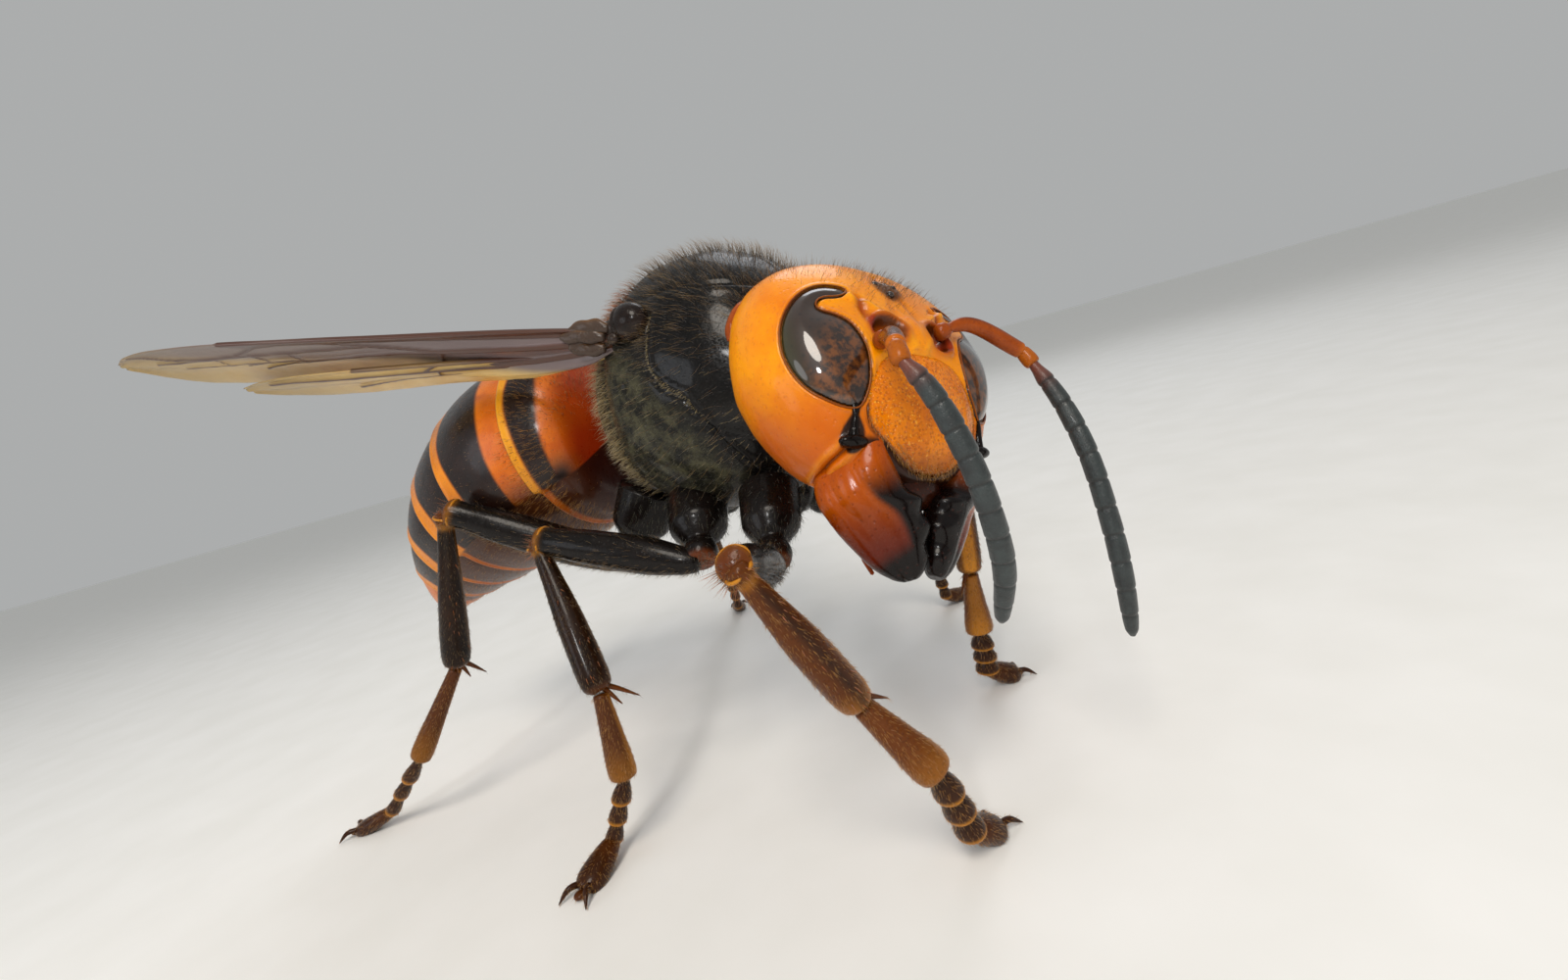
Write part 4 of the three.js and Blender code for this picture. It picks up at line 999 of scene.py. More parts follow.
# Abdomen: arc length along a bending axis and half width; its plates overlap backwards
abdomen = {
    "base": (-6.25, 0, -1.2),
    "yaw": 17,
    "pitch": 15.8,
    "bend": 2.56,
    "bendStart": 2,
    "flatness": 0.96,
    "profile": ((0, 0.75), (0.7, 0.95), (1.2, 2.6), (1.9, 4.3), (2.9, 5.0), (4.3, 5.4), (6.8, 5.65),
                (9.3, 5.45), (12.6, 4.75), (15.4, 3.8), (17.8, 2.6), (19.8, 1.2), (20.8, 0.25)),
    "length": 20.9,
    "joints": (4.3, 9.3, 12.6, 15.4, 17.8),
    "underShift": 0.3,
    "square": 2.1,
    "around": 216,
    "rings": 300,
    # from and to along the axis where each plate is dark; its hind band runs on to the joint
    "darkBands": ((2.55, 3.75), (5.7, 8.3), (9.3, 11.5), (12.6, 14.5), (15.4, 17.1)),
    "sting": (20.3, 20.6, 20.85),
    "stingRows": ((0, 0.16), (0.5, 0.12), (1, 0.03)),
}


def abdomenAxis(s):
    # centre, side and up of the ring at each arc length
    steps = np.linspace(-1, 21, 1200)
    middle = (steps[1:] + steps[:-1]) / 2
    pitch = np.radians(abdomen["pitch"] + abdomen["bend"] * np.maximum(0, middle - abdomen["bendStart"]))
    yaw = math.radians(abdomen["yaw"])
    aim = np.stack([-np.cos(pitch) * math.cos(yaw), -np.cos(pitch) * math.sin(yaw), -np.sin(pitch)], axis=1)
    walked = np.vstack([[0, 0, 0], np.cumsum(aim * np.diff(steps)[:, None], axis=0)])
    centre = readRows(s, steps, walked - readRows([0], steps, walked)) + abdomen["base"]
    aim = readRows(s, middle, aim)
    side = unit(np.cross(aim, (0, 0, 1.0)))
    return centre, side, np.cross(side, aim)


def abdomenForm(angle, share):
    s = abdomen["length"] * share
    half = smoothRows(abdomen["profile"], s)[:, 0]
    under = rise(-np.sin(angle), 0.44, 0.5)
    for joint in abdomen["joints"]:
        after = s + abdomen["underShift"] * under - joint
        half -= 0.17 * np.exp(-np.maximum(after, 0) / 1.1) * (after > 0) * rise(-after, -4.0, -2.5)
        half += 0.04 * hump(after, -0.12, 0.1)
    half -= 0.13 * under * rise(s, 2.2, 3.2) * rise(-s, -19.5, -18.0)
    half *= np.sqrt(np.clip(1 - (np.maximum(0, share - 0.985) / 0.015) ** 2, 0.0, 1))
    centre, side, up = abdomenAxis(s)
    across = swell(np.cos(angle), abdomen["square"]) * half
    high = swell(np.sin(angle), abdomen["square"]) * half * abdomen["flatness"]
    return centre + side * across[:, None] + up * high[:, None], s, under


def buildAbdomen():
    mesh, angle, share = roundMesh("abdomen_skin", abdomen["around"], abdomen["rings"])
    points, s, under = abdomenForm(angle, share)
    writePoints(mesh, points)
    faceOut(mesh)
    lifted(mesh, 0.012 * softNoise(points, 2.2, 21))
    # the bands: their front edges wave, lowest in the middle of the back and at the flanks
    joints, shift = abdomen["joints"], abdomen["underShift"]
    down, turn = -np.sin(angle), np.arctan2(np.cos(angle), np.sin(angle))
    wave = 0.28 * np.cos(2.6 * turn) + 0.1 * np.sin(7 * turn) + 0.06 * softNoise(points, 1.5, 5)
    dark, yellow = np.zeros((2, len(points)))
    for index, ((first, last), joint) in enumerate(zip(abdomen["darkBands"], joints)):
        start = first + (0.4 * wave if index < 2 else -1.0)
        stop = last - wave * (0.35 if index == 0 else 0.8)
        band = rise(s - start, -0.12, 0.12) * rise(stop - s, -0.1, 0.1)
        dark = highest(dark, band * (s > first) if index > 1 else band)
        yellow = highest(yellow, rise(s - stop, -0.1, 0.15) * (s < joint) * (0.9 if index == 0 else 0.35))
    dark = highest(dark, rise(down, 0.1, 0.42) * rise(s, 1.2, 2.4) * (s < joints[0]) * (1 - yellow),
                   0.85 * rise(down, 0.12, 0.5) * (s > joints[0]) * (s < joints[1]) * (1 - 0.6 * yellow))
    hem = highest(*(rise(s + shift - joint, -0.55, -0.3) * (s + shift < joint) for joint in joints))
    dark = np.where(under > 0.5, 0.93 - 0.6 * hem, dark)
    dark = np.where(s > 18.2, dark * rise(-s, -19.0, -18.2), dark)
    dark = highest(dark, *(0.85 * hump(s + shift * under, joint + 0.03, 0.06) for joint in joints))
    markAll(mesh, dark=np.clip(dark, 0, 1), yellow=np.clip(yellow * (1 - under), 0, 1),
            red=rise(-s, -2.4, -1.4) + 0.25 * rise(down, -0.2, 0.3) * (s < joints[1]))
    sting = tubeAlong("sting", abdomenAxis(abdomen["sting"])[0], abdomen["stingRows"], 16, 30)
    markAll(sting, dark=0.8)
    return joinMeshes("abdomen_skin", [mesh, sting])


abdomenFinish = layeredFinish(
    "banded shell", (1.6, "#e67c0a", "#c65a06"),
    (("yellow", 0.9, "#eda61a"), ("red", 0.85, "#a02c04"), ("dark", 1, (0.8, "#120805", "#26120a", 0.3, 0.7)),
     ("pits", 0.3, "#3c1a0a")),
    pits=(0.2, 0.0, 0.25, 0.014), gloss=(0.15, 3, 0.22, 0.44), bumps=(((0.6, 4), 0.02), ((0.12, 4, 0.6), 0.008)),
    coatWeight=0.22, coatRoughness=0.14, specularIORLevel=0.25, subsurfaceWeight=0.08, subsurfaceScale=0.0005,
    subsurfaceRadius=(1.0, 0.4, 0.12))
abdomenSkin = finishPiece(buildAbdomen(), bodyPlace, abdomenFinish,
                          ["abdomen_%d" % (i + 1) for i in range(6)])
print("abdomen made")

# Tegulae: the domed scale over each wing root, with a knob behind it and the small hinge plates
tegula = {
    "centre": (-0.3, 4.7, 2.95),
    "size": (0.98, 0.72, 0.78),
    "knobs": (((-1.3, 4.95, 2.75), 0.36), ((-1.0, 5.15, 2.3), 0.26), ((-1.75, 4.9, 2.35), 0.24),
              ((-0.7, 5.05, 3.35), 0.2)),
    "knobShape": np.array((1.3, 0.7, 1)),
    "plates": (((-1.2, 5.1, 2.75), (-2.0, 5.55, 2.9), (-2.9, 6.0, 2.75)),
               ((-1.4, 5.2, 2.4), (-2.2, 5.7, 2.5), (-3.3, 6.2, 2.5)),
               ((-1.5, 5.15, 1.95), (-2.3, 5.6, 1.95), (-3.0, 6.0, 2.1)),
               ((-1.9, 5.3, 2.7), (-2.6, 5.75, 2.3), (-2.9, 6.0, 1.9))),
    "plateRows": ((0, 0.12, 0.2), (0.3, 0.16, 0.3), (0.8, 0.1, 0.26), (1, 0.05, 0.1)),
}
for name, side in bothSides:
    dome = roundMesh("tegula_dome_" + name, 90, 60)[0]
    ball = readPoints(dome)
    fold = 1 + 0.06 * hump(ball[:, 0], -0.55, 0.12) - 0.1 * hump(ball[:, 0], -0.4, 0.1)
    writePoints(dome, ball * tegula["size"] * fold[:, None] + onSide(tegula["centre"], side))
    markAll(dome, rust=0.3 * rise(-ball[:, 0], 0.3, 0.9) + 0.2 * rise(-ball[:, 2], 0.3, 0.9))
    parts = [dome]
    for place, size in tegula["knobs"]:
        parts.append(ballMesh("hinge_knob", 24, 16, size * tegula["knobShape"], onSide(place, side)))
        markAll(parts[-1], rust=0.2)
    for plate in tegula["plates"]:
        scale = tubeAlong("plate", onSide(plate, side), tegula["plateRows"], 16, 30,
                          lambda share, angle: 0.12 * np.sin(share * 15 + angle * 2))
        # gold: a painted highlight on the upward faces of the hinge plates
        markAll(scale, rust=0.5, gold=0.15 * rise(readNormals(scale)[:, 2], 0.3, 0.9))
        parts.append(scale)
    finishPiece(joinMeshes("tegula_dome_" + name, parts), bodyPlace, hingeFinish, ["tegula_" + name])

# Wings: share of the length, leading and trailing edge, and veins as shares along and across
wings = {
    "forewing": {
        "hinge": (-1.3, 4.95, 2.5), "length": 28.1, "splay": 29, "rise": 1.8, "fold": -24, "twist": -34,
        "outline": ((0, -0.15, 0.7), (0.05, -0.3, 1.4), (0.2, -0.4, 2.3), (0.45, -0.5, 3.5),
                    (0.7, -0.35, 4.1), (0.86, 0.1, 3.9), (0.95, 0.8, 3.1), (1, 1.6, 2.1)),
        "veins": (
            (0.16, ((0, 0.03), (0.3, 0.03), (0.62, 0.03), (0.7, 0.02))),
            (0.13, ((0, 0.13), (0.3, 0.1), (0.6, 0.06), (0.66, 0.05))),
            (0.22, ((0.6, 0.06), (0.64, 0.08), (0.68, 0.05))),
            (0.08, ((0.64, 0.1), (0.72, 0.26), (0.84, 0.26), (0.94, 0.06))),
            (0.13, ((0, 0.4), (0.15, 0.36), (0.3, 0.34))),
            (0.09, ((0.52, 0.08), (0.42, 0.2), (0.3, 0.34))),
            (0.09, ((0.3, 0.34), (0.5, 0.4), (0.64, 0.5), (0.7, 0.62))),
            (0.07, ((0.44, 0.2), (0.6, 0.24), (0.78, 0.3), (0.9, 0.33))),
            (0.07, ((0.6, 0.24), (0.58, 0.44))),
            (0.07, ((0.68, 0.26), (0.66, 0.4), (0.72, 0.5))),
            (0.06, ((0.76, 0.29), (0.75, 0.42))),
            (0.07, ((0.5, 0.4), (0.66, 0.42), (0.86, 0.5))),
            (0.11, ((0, 0.66), (0.14, 0.7), (0.3, 0.78), (0.5, 0.88))),
            (0.06, ((0.3, 0.34), (0.34, 0.78))),
        ),
        "smoke": ((0, 1.2, 0.95), (0.25, 0.8, 0.95), (0.5, 0.5, 0.92), (0.78, 0.32, 0.85), (1, 0.15, 0.4)),
    },
    "hindwing": {
        "hinge": (-2.3, 4.75, 1.95), "length": 21, "splay": 28.5, "rise": -0.7, "fold": -17, "twist": -20,
        "outline": ((0, 0.1, 0.5), (0.06, 0.1, 0.9), (0.25, 0.2, 2.1), (0.55, 0.2, 3.2),
                    (0.78, 0.4, 3.5), (0.92, 1.0, 3.1), (1, 1.7, 2.4)),
        "veins": (
            (0.12, ((0, 0.06), (0.3, 0.05), (0.62, 0.03))),
            (0.09, ((0, 0.3), (0.3, 0.26), (0.55, 0.28), (0.78, 0.24), (0.9, 0.2))),
            (0.07, ((0.4, 0.06), (0.46, 0.27))),
            (0.08, ((0, 0.6), (0.3, 0.56), (0.5, 0.6), (0.7, 0.74))),
            (0.06, ((0.42, 0.27), (0.44, 0.58))),
        ),
        "smoke": ((0, 0.3, 0.3), (0.5, 0.05, 0.1), (1, 0.0, 0.1)),
    },
    "thickness": 0.07,
    "edgeShare": 0.4,
    "veinHeight": 0.075,
    "columns": 240,
    "rows": 52,
}


def veinField(spec, u, flat):
    # one on the veins, nothing on the membrane between them
    fields = []
    for width, line in spec["veins"]:
        along, across = (smoothPath(line, 24) if len(line) > 2 else np.array(line)).T
        lead, trail = smoothRows(spec["outline"], along).T
        bent = np.stack([along * spec["length"], lead + (trail - lead) * across, 0 * along], axis=1)
        fields.append(rise(width * (1 - 0.35 * u) + 0.05 - lineDistance(flat, bent), 0, 0.06))
    return highest(*fields)


def wingMesh(kind, name, side):
    spec = wings[kind]
    bm = bmesh.new()
    bmesh.ops.create_grid(bm, x_segments=wings["columns"], y_segments=wings["rows"], size=0.5)
    mesh = meshFrom(bm, kind + "_membrane_" + name)
    u, v = readPoints(mesh)[:, :2].T + 0.5
    lead, trail = smoothRows(spec["outline"], u).T
    splay, fold, lift, twist = (math.radians(spec[key]) for key in ("splay", "fold", "rise", "twist"))
    along = unit(np.array((-math.cos(splay), side * math.sin(splay), math.tan(lift))))
    # the wing is folded most steeply at its root
    fold = fold + twist * rise(-u, -0.45, 0.0)
    across = np.stack([-math.sin(splay) * np.cos(fold), -side * math.cos(splay) * np.cos(fold), np.sin(fold)], axis=1)
    across = unit(across - np.outer(across @ along, along))
    normal = np.cross(along, across)
    normal *= np.sign(normal[:, 2:])
    chord = lead + (trail - lead) * v
    # the veins stand proud of the membrane, which sags a little between them
    flat = np.stack([u * spec["length"], chord, 0 * u], axis=1)
    vein = veinField(spec, u, flat)
    pleat = 0.1 * np.sin(v * 11 + 0.6) * rise(v, 0.0, 0.15) * (1 - 0.4 * u)
    ripple = 0.03 * softNoise(flat, 1.6, 31) * rise(v, 0.1, 0.4)
    centre = onSide(spec["hinge"], side) + np.outer(u * spec["length"], along)
    writePoints(mesh, centre + (chord[:, None] * across + (pleat + ripple)[:, None] * normal))
    bm = bmesh.new()
    bm.from_mesh(mesh)
    twin = bmesh.ops.duplicate(bm, geom=bm.verts[:] + bm.edges[:] + bm.faces[:])["geom"]
    lower = [item for item in twin if isinstance(item, bmesh.types.BMVert)]
    border = (v < 0.004) | (v > 0.996) | (u > 0.996)
    swelling = wings["thickness"] / 2 * np.where(border, wings["edgeShare"], 1.0) + wings["veinHeight"] * vein
    for top, under, offset in zip(bm.verts[:len(u)], lower, normal * swelling[:, None]):
        top.co += Vector(offset)
        under.co -= Vector(offset)
    bmesh.ops.reverse_faces(bm, faces=[item for item in twin if isinstance(item, bmesh.types.BMFace)])
    bmesh.ops.bridge_loops(bm, edges=[edge for edge in bm.edges if edge.is_boundary])
    bm.to_mesh(mesh)
    bm.free()
    faceOut(mesh)
    reach, depth = smoothRows(spec["smoke"], u).T
    markAll(mesh, vein=np.tile(vein, 2), smoke=np.tile(rise(reach - v, -0.12, 0.12) * depth, 2),
            tip=np.tile(rise(u, 0.55, 0.95), 2))
    return mesh


wingFinish = layeredFinish(
    "wing membrane", (2.0, "#f4d285", "#e2b458", 0.3, 0.7),
    (("tip", 0.75, "#a08238"), ("smoke", 1, "#64565d"), ("vein", 1, "#4a2614")),
    bumps=(((0.35, 4), 0.012), ((0.06, 2), 0.003)), coatWeight=0.25, coatRoughness=0.2, roughness=0.32)
wingTree = wingFinish.node_tree
solid = sums(wingTree, "MAXIMUM", marked(wingTree, "vein"), marked(wingTree, "smoke", 0.95))
feed(wingTree, wingTree.nodes["Principled BSDF"].inputs["Alpha"], ranged(wingTree, solid, 0.0, 1.0, (0.66, 1.0)))
for name, side in bothSides:
    for kind in ("forewing", "hindwing"):
        finishPiece(wingMesh(kind, name, side), bodyPlace, wingFinish, [kind + "_" + name])
print("wings made")

# Legs: coxa root in the body's frame, then trochanter, knee, ankle, end of the first foot joint, start of
# the last one, and toe, all above the floor
legs = {
    "front_right": ((4.4, -2.0, -4.3), ((5.3, -5.1, 11.3), (8.7, -10.1, 13.2), (9.55, -7.3, 7.25),
                                        (10.7, -5.8, 4.05), (10.7, -4.8, 1.2), (10.7, -3.3, 0.12))),
    "middle_right": ((0.4, -2.4, -4.9), ((1.4, -5.3, 11.65), (-5.5, -8.3, 14.2), (-2.7, -9.2, 7.5),
                                         (-2.7, -9.4, 3.55), (-3.95, -10.1, 0.86), (-3.4, -12.3, 0.12))),
    "hind_right": ((-3.0, -2.2, -4.6), ((-5.6, -4.0, 11.4), (-11.9, -9.05, 16.4), (-14.6, -10.1, 8.3),
                                        (-17.2, -12.6, 3.9), (-20.5, -13.8, 1.0), (-22.6, -15.2, 0.12))),
    "front_left": ((4.4, 2.0, -4.3), ((4.9, 3.9, 11.0), (7.5, 6.5, 13.1), (6.7, 6.45, 6.4),
                                      (6.5, 6.35, 3.2), (6.3, 6.55, 1.1), (7.0, 7.95, 0.12))),
    "middle_left": ((0.4, 2.4, -4.9), ((0.4, 5.0, 11.2), (-2.5, 11.8, 14.0), (-1.4, 14.2, 7.3),
                                       (-0.9, 15.6, 3.7), (-1.3, 16.6, 0.9), (-1.0, 18.6, 0.12))),
    "hind_left": ((-3.0, 2.2, -4.6), ((-6.5, 4.3, 12.0), (-12.6, 8.8, 17.3), (-16.6, 11.0, 8.8),
                                      (-18.2, 12.8, 4.0), (-20.3, 14.6, 0.9), (-21.8, 16.0, 0.12))),
}
legForm = {
    "size": {"front": 0.94, "middle": 1.0, "hind": 1.1},
    "coxa": ((0, 1.35), (0.45, 1.25), (0.62, 0.85), (0.7, 0.62), (0.85, 0.75), (0.97, 0.62), (1, 0.3)),
    "femur": ((0, 0.3, 0.3), (0.03, 0.44, 0.44), (0.12, 0.6, 0.62), (0.35, 0.72, 0.82), (0.7, 0.68, 0.76),
              (0.9, 0.56, 0.62), (0.97, 0.6, 0.62), (1, 0.3, 0.3)),
    "tibia": ((0, 0.25, 0.25), (0.03, 0.42, 0.42), (0.07, 0.45, 0.45), (0.13, 0.38, 0.4), (0.2, 0.4, 0.44),
              (0.6, 0.6, 0.68), (0.88, 0.66, 0.7), (0.96, 0.6, 0.62), (1, 0.3, 0.3)),
    "basitarsus": ((0, 0.2, 0.2), (0.03, 0.3, 0.3), (0.1, 0.3, 0.32), (0.5, 0.38, 0.44), (0.88, 0.5, 0.54),
                   (0.96, 0.46, 0.5), (1, 0.2, 0.2)),
    "cup": ((0, 0.3, 0.3), (0.2, 0.5, 0.5), (0.8, 0.98, 0.86), (0.94, 1.0, 0.88), (0.98, 0.8, 0.7), (1, 0.35, 0.3)),
    "foot": ((0, 0.15, 0.15), (0.06, 0.24, 0.24), (0.35, 0.45, 0.36), (0.75, 0.55, 0.42), (0.95, 0.42, 0.34),
             (1, 0.15, 0.15)),
    "cupWidth": {"front": (0.6, 0.62, 0.62), "middle": (0.46, 0.44, 0.42), "hind": (0.44, 0.42, 0.4)},
    "basalSize": {"front": 1.3, "middle": 1.12, "hind": 1.05},
    "footSize": {"front": 1.3, "middle": 1.2, "hind": 1.05},
    "kneeHighlightRim": ((0, 0.03), (0.1, 0.065), (0.9, 0.065), (1, 0.03)),
    "rimTurn": 5.6,
    "spur": (1.5, 0.15),
    "claw": (0.95, 0.14, 0.55),
    "pad": (0.26, 0.26, 0.16),
    "padHeight": 0.19,
}


def legJoints(name):
    # the coxa's root and the six joints below it, over the floor
    root, joints = legs[name]
    return [moved(np.array([root]), floorPlace.inverted() @ bodyPlace)[0], *np.array(joints)]


def limb(name, key, start, end, size, around, rings, relief=None):
    rows = [(row[0], *(value * size for value in row[1:])) for row in legForm[key]]
    mesh = tubeAlong(name, [start, end], rows, around, rings, relief)
    return mesh, shareOf(mesh)


def horn(name, start, end, bend, rows, **marks):
    # a small curved spine
    mesh = tubeAlong(name, [start, (start + end) / 2 + (0, 0, bend), end], rows, 14, 30)
    markAll(mesh, **marks)
    return mesh


def buildShin(pair, joints, size, sunny):
    # the tibia with two thin golden rims round the knee, which are painted highlights, and its spurs
    trochanter, knee, ankle = joints
    down, thigh = unit(ankle - knee), unit(knee - trochanter)
    tibia, share = limb("tibia_shell", "tibia", knee, ankle, size, 30, 72, lambda share, angle:
                        0.03 * np.cos(angle * 3) * rise(share, 0.1, 0.5) - 0.1 * hump(share, 0.1, 0.03))
    inner = readNormals(tibia) @ sunny
    if pair == "front":
        # dark: a painted dark sheen over the side turned partly towards the light; gold: a painted highlight along the
        # side facing the light, a painted highlight ring below the knee, and gold towards the ankle
        markAll(tibia, rust=0.55, dark=0.7 * hump(inner, 0.35, 0.35) * rise(share, 0.08, 0.2),
                gold=0.75 * rise(inner, 0.8, 0.97) * rise(share, 0.08, 0.14)
                + 0.35 * rise(share, 0.8, 1) + 0.35 * hump(share, 0.1, 0.025))
    else:
        # gold: a painted highlight ring below the knee, and a painted highlight on the side facing the light
        markAll(tibia, rust=np.clip(0.5 * rise(-share, -0.1, -0.03) + 0.5 * rise(share, 0.94, 1), 0, 1),
                gold=0.35 * hump(share, 0.09, 0.02) + 0.15 * rise(inner, 0.85, 0.98))
    shin = [tibia]
    # the two rims are thin arcs round the knee, coloured gold as painted highlights
    turns = np.linspace(0, legForm["rimTurn"], 12)[:, None]
    for axis, reach, width in ((down, 0.34, 0.47), (-thigh, 0.42, 0.6)):
        first = unit(np.cross(axis, (0.3, 0.1, 1)))
        arc = axis * reach + (first * np.cos(turns) + np.cross(axis, first) * np.sin(turns)) * width
        shin.append(tubeAlong("knee_highlight_rim", knee + arc * size, legForm["kneeHighlightRim"], 12, 44))
        markAll(shin[-1], gold=0.75)
    out = unit(np.cross(down, (0.2, 1, 0.1)))
    back = np.cross(down, out) * -np.sign(sunny[1])
    spurRoot = ankle - down * 0.45
    length, radius = legForm["spur"]
    for lean in ((0.6,) if pair == "front" else (0.45, 1.0)):
        tip = spurRoot + down * length * 0.85 + back * length * lean
        rows = ((0, radius * size), (0.6, radius * 0.6 * size), (1, 0.02))
        shin.append(horn("spur", spurRoot, tip, 0.05, rows, rust=0.6))
    return shin


def buildFoot(pair, joints, sunny):
    # the first joint, three cups, the last joint, two claws and the pad between them
    ankle, basal, fourth, toe = joints
    first, share = limb("basitarsus", "basitarsus", ankle, basal, legForm["basalSize"][pair], 24, 48)
    lit = readNormals(first) @ sunny
    # gold: golden pile towards the end, and a painted highlight on the side facing the light
    markAll(first, rust=0.7 if pair == "front" else 0.4,
            gold=np.clip(0.25 * rise(share, 0.5, 1.0) + 0.4 * rise(lit, 0.6, 0.95), 0, 1))
    parts = [first]
    for i, width in enumerate(legForm["cupWidth"][pair]):
        low, high = basal + (fourth - basal) * (i / 3 - 0.06), basal + (fourth - basal) * ((i + 1) / 3 + 0.04)
        cup, share = limb("cup", "cup", low, high, width, 20, 22)
        markAll(cup, rust=0.15, gold=0.7 * rise(share, 0.78, 0.93), dark=0.3 * rise(-share, -0.7, -0.4))
        parts.append(cup)
    foot, share = limb("foot", "foot", fourth - (toe - fourth) * 0.08, toe, legForm["footSize"][pair], 24, 34)
    markAll(foot, rust=0.3, gold=0.3 * rise(-share, -0.2, -0.05), dark=0.35 * rise(share, 0.3, 0.6))
    parts.append(foot)
    ahead = unit((toe - fourth) * (1, 1, 0))
    sideways = np.array((-ahead[1], ahead[0], 0))
    length, radius, spread = legForm["claw"]
    for way in (-1, 1):
        start = (toe - ahead * 0.2 + sideways * way * 0.22) * (1, 1, 0) + (0, 0, 0.38)
        end = (start + ahead * length + sideways * way * spread) * (1, 1, 0) + (0, 0, 0.06)
        rows = ((0, radius), (0.35, radius * 0.95), (0.75, radius * 0.55), (1, 0.015))
        parts.append(horn("claw", start, end, 0.22, rows, rust=0.35, dark=0.5))
    pad = ballMesh("pad", 24, 16, legForm["pad"], toe * (1, 1, 0) + ahead * 0.22 + (0, 0, legForm["padHeight"]))
    markAll(pad, rust=0.5, dark=0.2)
    parts.append(pad)
    for mesh in parts:
        spots = readPoints(mesh)
        writePoints(mesh, np.maximum(spots, (-np.inf, -np.inf, 0)))
    return parts


def buildLeg(name):
    pair, hand = name.split("_")
    size = legForm["size"][pair]
    root, trochanter, knee, ankle, basal, fourth, toe = legJoints(name)
    # the way that the golden light lies on, from the front and the outside of the other hand
    sunny = np.array((0.6, -0.8 if hand == "left" else 0.8, 0))
    coxa, share = limb("coxa_" + name + "_shell", "coxa", root, trochanter, size, 30, 50, lambda share, angle:
                       0.03 * np.cos(angle * 2 + 1) - 0.08 * hump(share, 0.7, 0.03))
    markAll(coxa, rust=0.5 * rise(share, 0.9, 1.0))
    femur, share = limb("femur_" + name + "_shell", "femur", trochanter, knee, size, 30, 64, lambda share, angle:
                        -0.05 * hump(np.cos(angle), 0.7, 0.2) * rise(share, 0.1, 0.3))
    # gold: a painted highlight ring at the knee end of the femur
    markAll(femur, rust=(0.4 if pair == "front" else 0.25) * rise(share, 0.93, 0.97),
            gold=0.25 * hump(share, 0.955, 0.02))
    shin = joinMeshes("tibia_" + name + "_shell", buildShin(pair, (trochanter, knee, ankle), size, sunny))
    foot = joinMeshes("tarsus_" + name + "_joints", buildFoot(pair, (ankle, basal, fourth, toe), sunny))
    return {part: finishPiece(mesh, floorPlace, finish, [part + "_" + name]) for part, mesh, finish, slot in (
        ("coxa", coxa, blackFinish, "black_shell"), ("femur", femur, blackFinish, "black_shell"),
        ("tibia", shin, brownFinish, "brown_shell"), ("tarsus", foot, brownFinish, "brown_shell"))}


legPieces = {name: buildLeg(name) for name in legs}
print("legs made")

# Coat: single tapered hairs of seven points, grown from the skins in drifts
hair = {"sides": 3, "cuts": 1, "sunk": 0.03, "floor": 0.01, "patch": 0.0015, "tall": (0.6, 1.15)}


def hairForm():
    # one upright hair, one unit tall and one unit thick at its root
    bm = bmesh.new()
    bmesh.ops.create_cone(bm, cap_ends=True, segments=hair["sides"], radius1=1, radius2=0, depth=1)
    upright = [edge for edge in bm.edges if abs(edge.verts[0].co.z - edge.verts[1].co.z) > 0.5]
    bmesh.ops.subdivide_edges(bm, edges=upright, cuts=hair["cuts"])
    bmesh.ops.translate(bm, vec=(0, 0, 0.5), verts=bm.verts)
    bmesh.ops.recalc_face_normals(bm, faces=bm.faces)
    bm.verts.ensure_lookup_table()
    points = np.array([v.co[:] for v in bm.verts])
    faces = [[v.index for v in face.verts] for face in bm.faces]
    bm.free()
    return points, faces


hairPoints, hairFaces = hairForm()


def rootsOn(piece, place, weigh, count, seed):
    # random roots on a skin; weigh gives each of its points a share of them, in the part's own frame
    mesh = piece.data
    corners = trianglesOf(mesh)
    points, normals = readPoints(mesh) / millimetre, readNormals(mesh)
    home = moved(points, place.inverted())
    weight = np.clip(weigh(home, normals @ np.array(place.to_3x3())), 0, None)
    p = points[corners]
    area = np.linalg.norm(np.cross(p[:, 1] - p[:, 0], p[:, 2] - p[:, 0]), axis=1)
    chance = area * weight[corners].mean(axis=1)
    rng = np.random.default_rng(seed)
    picks = corners[rng.choice(len(corners), count, p=chance / chance.sum())]
    a, b = rng.random((2, count))
    a, b = np.where(a + b > 1, 1 - a, a), np.where(a + b > 1, 1 - b, b)

    def between(values):
        return sum(values[picks[:, i]] * part[:, None] for i, part in enumerate((1 - a - b, a, b)))

    share, turn = (shareOf(mesh, key)[picks[:, 0]] for key in ("share", "round"))
    spread = rng.normal(size=(count, 2)) * 0.002
    unwrap = np.stack([turn / (2 * math.pi) + 0.5, share], axis=1) * 0.98 + 0.01 + spread
    return {"point": between(points), "home": between(home), "normal": unit(between(normals)), "unwrap": unwrap,
            "rng": rng, "place": place}


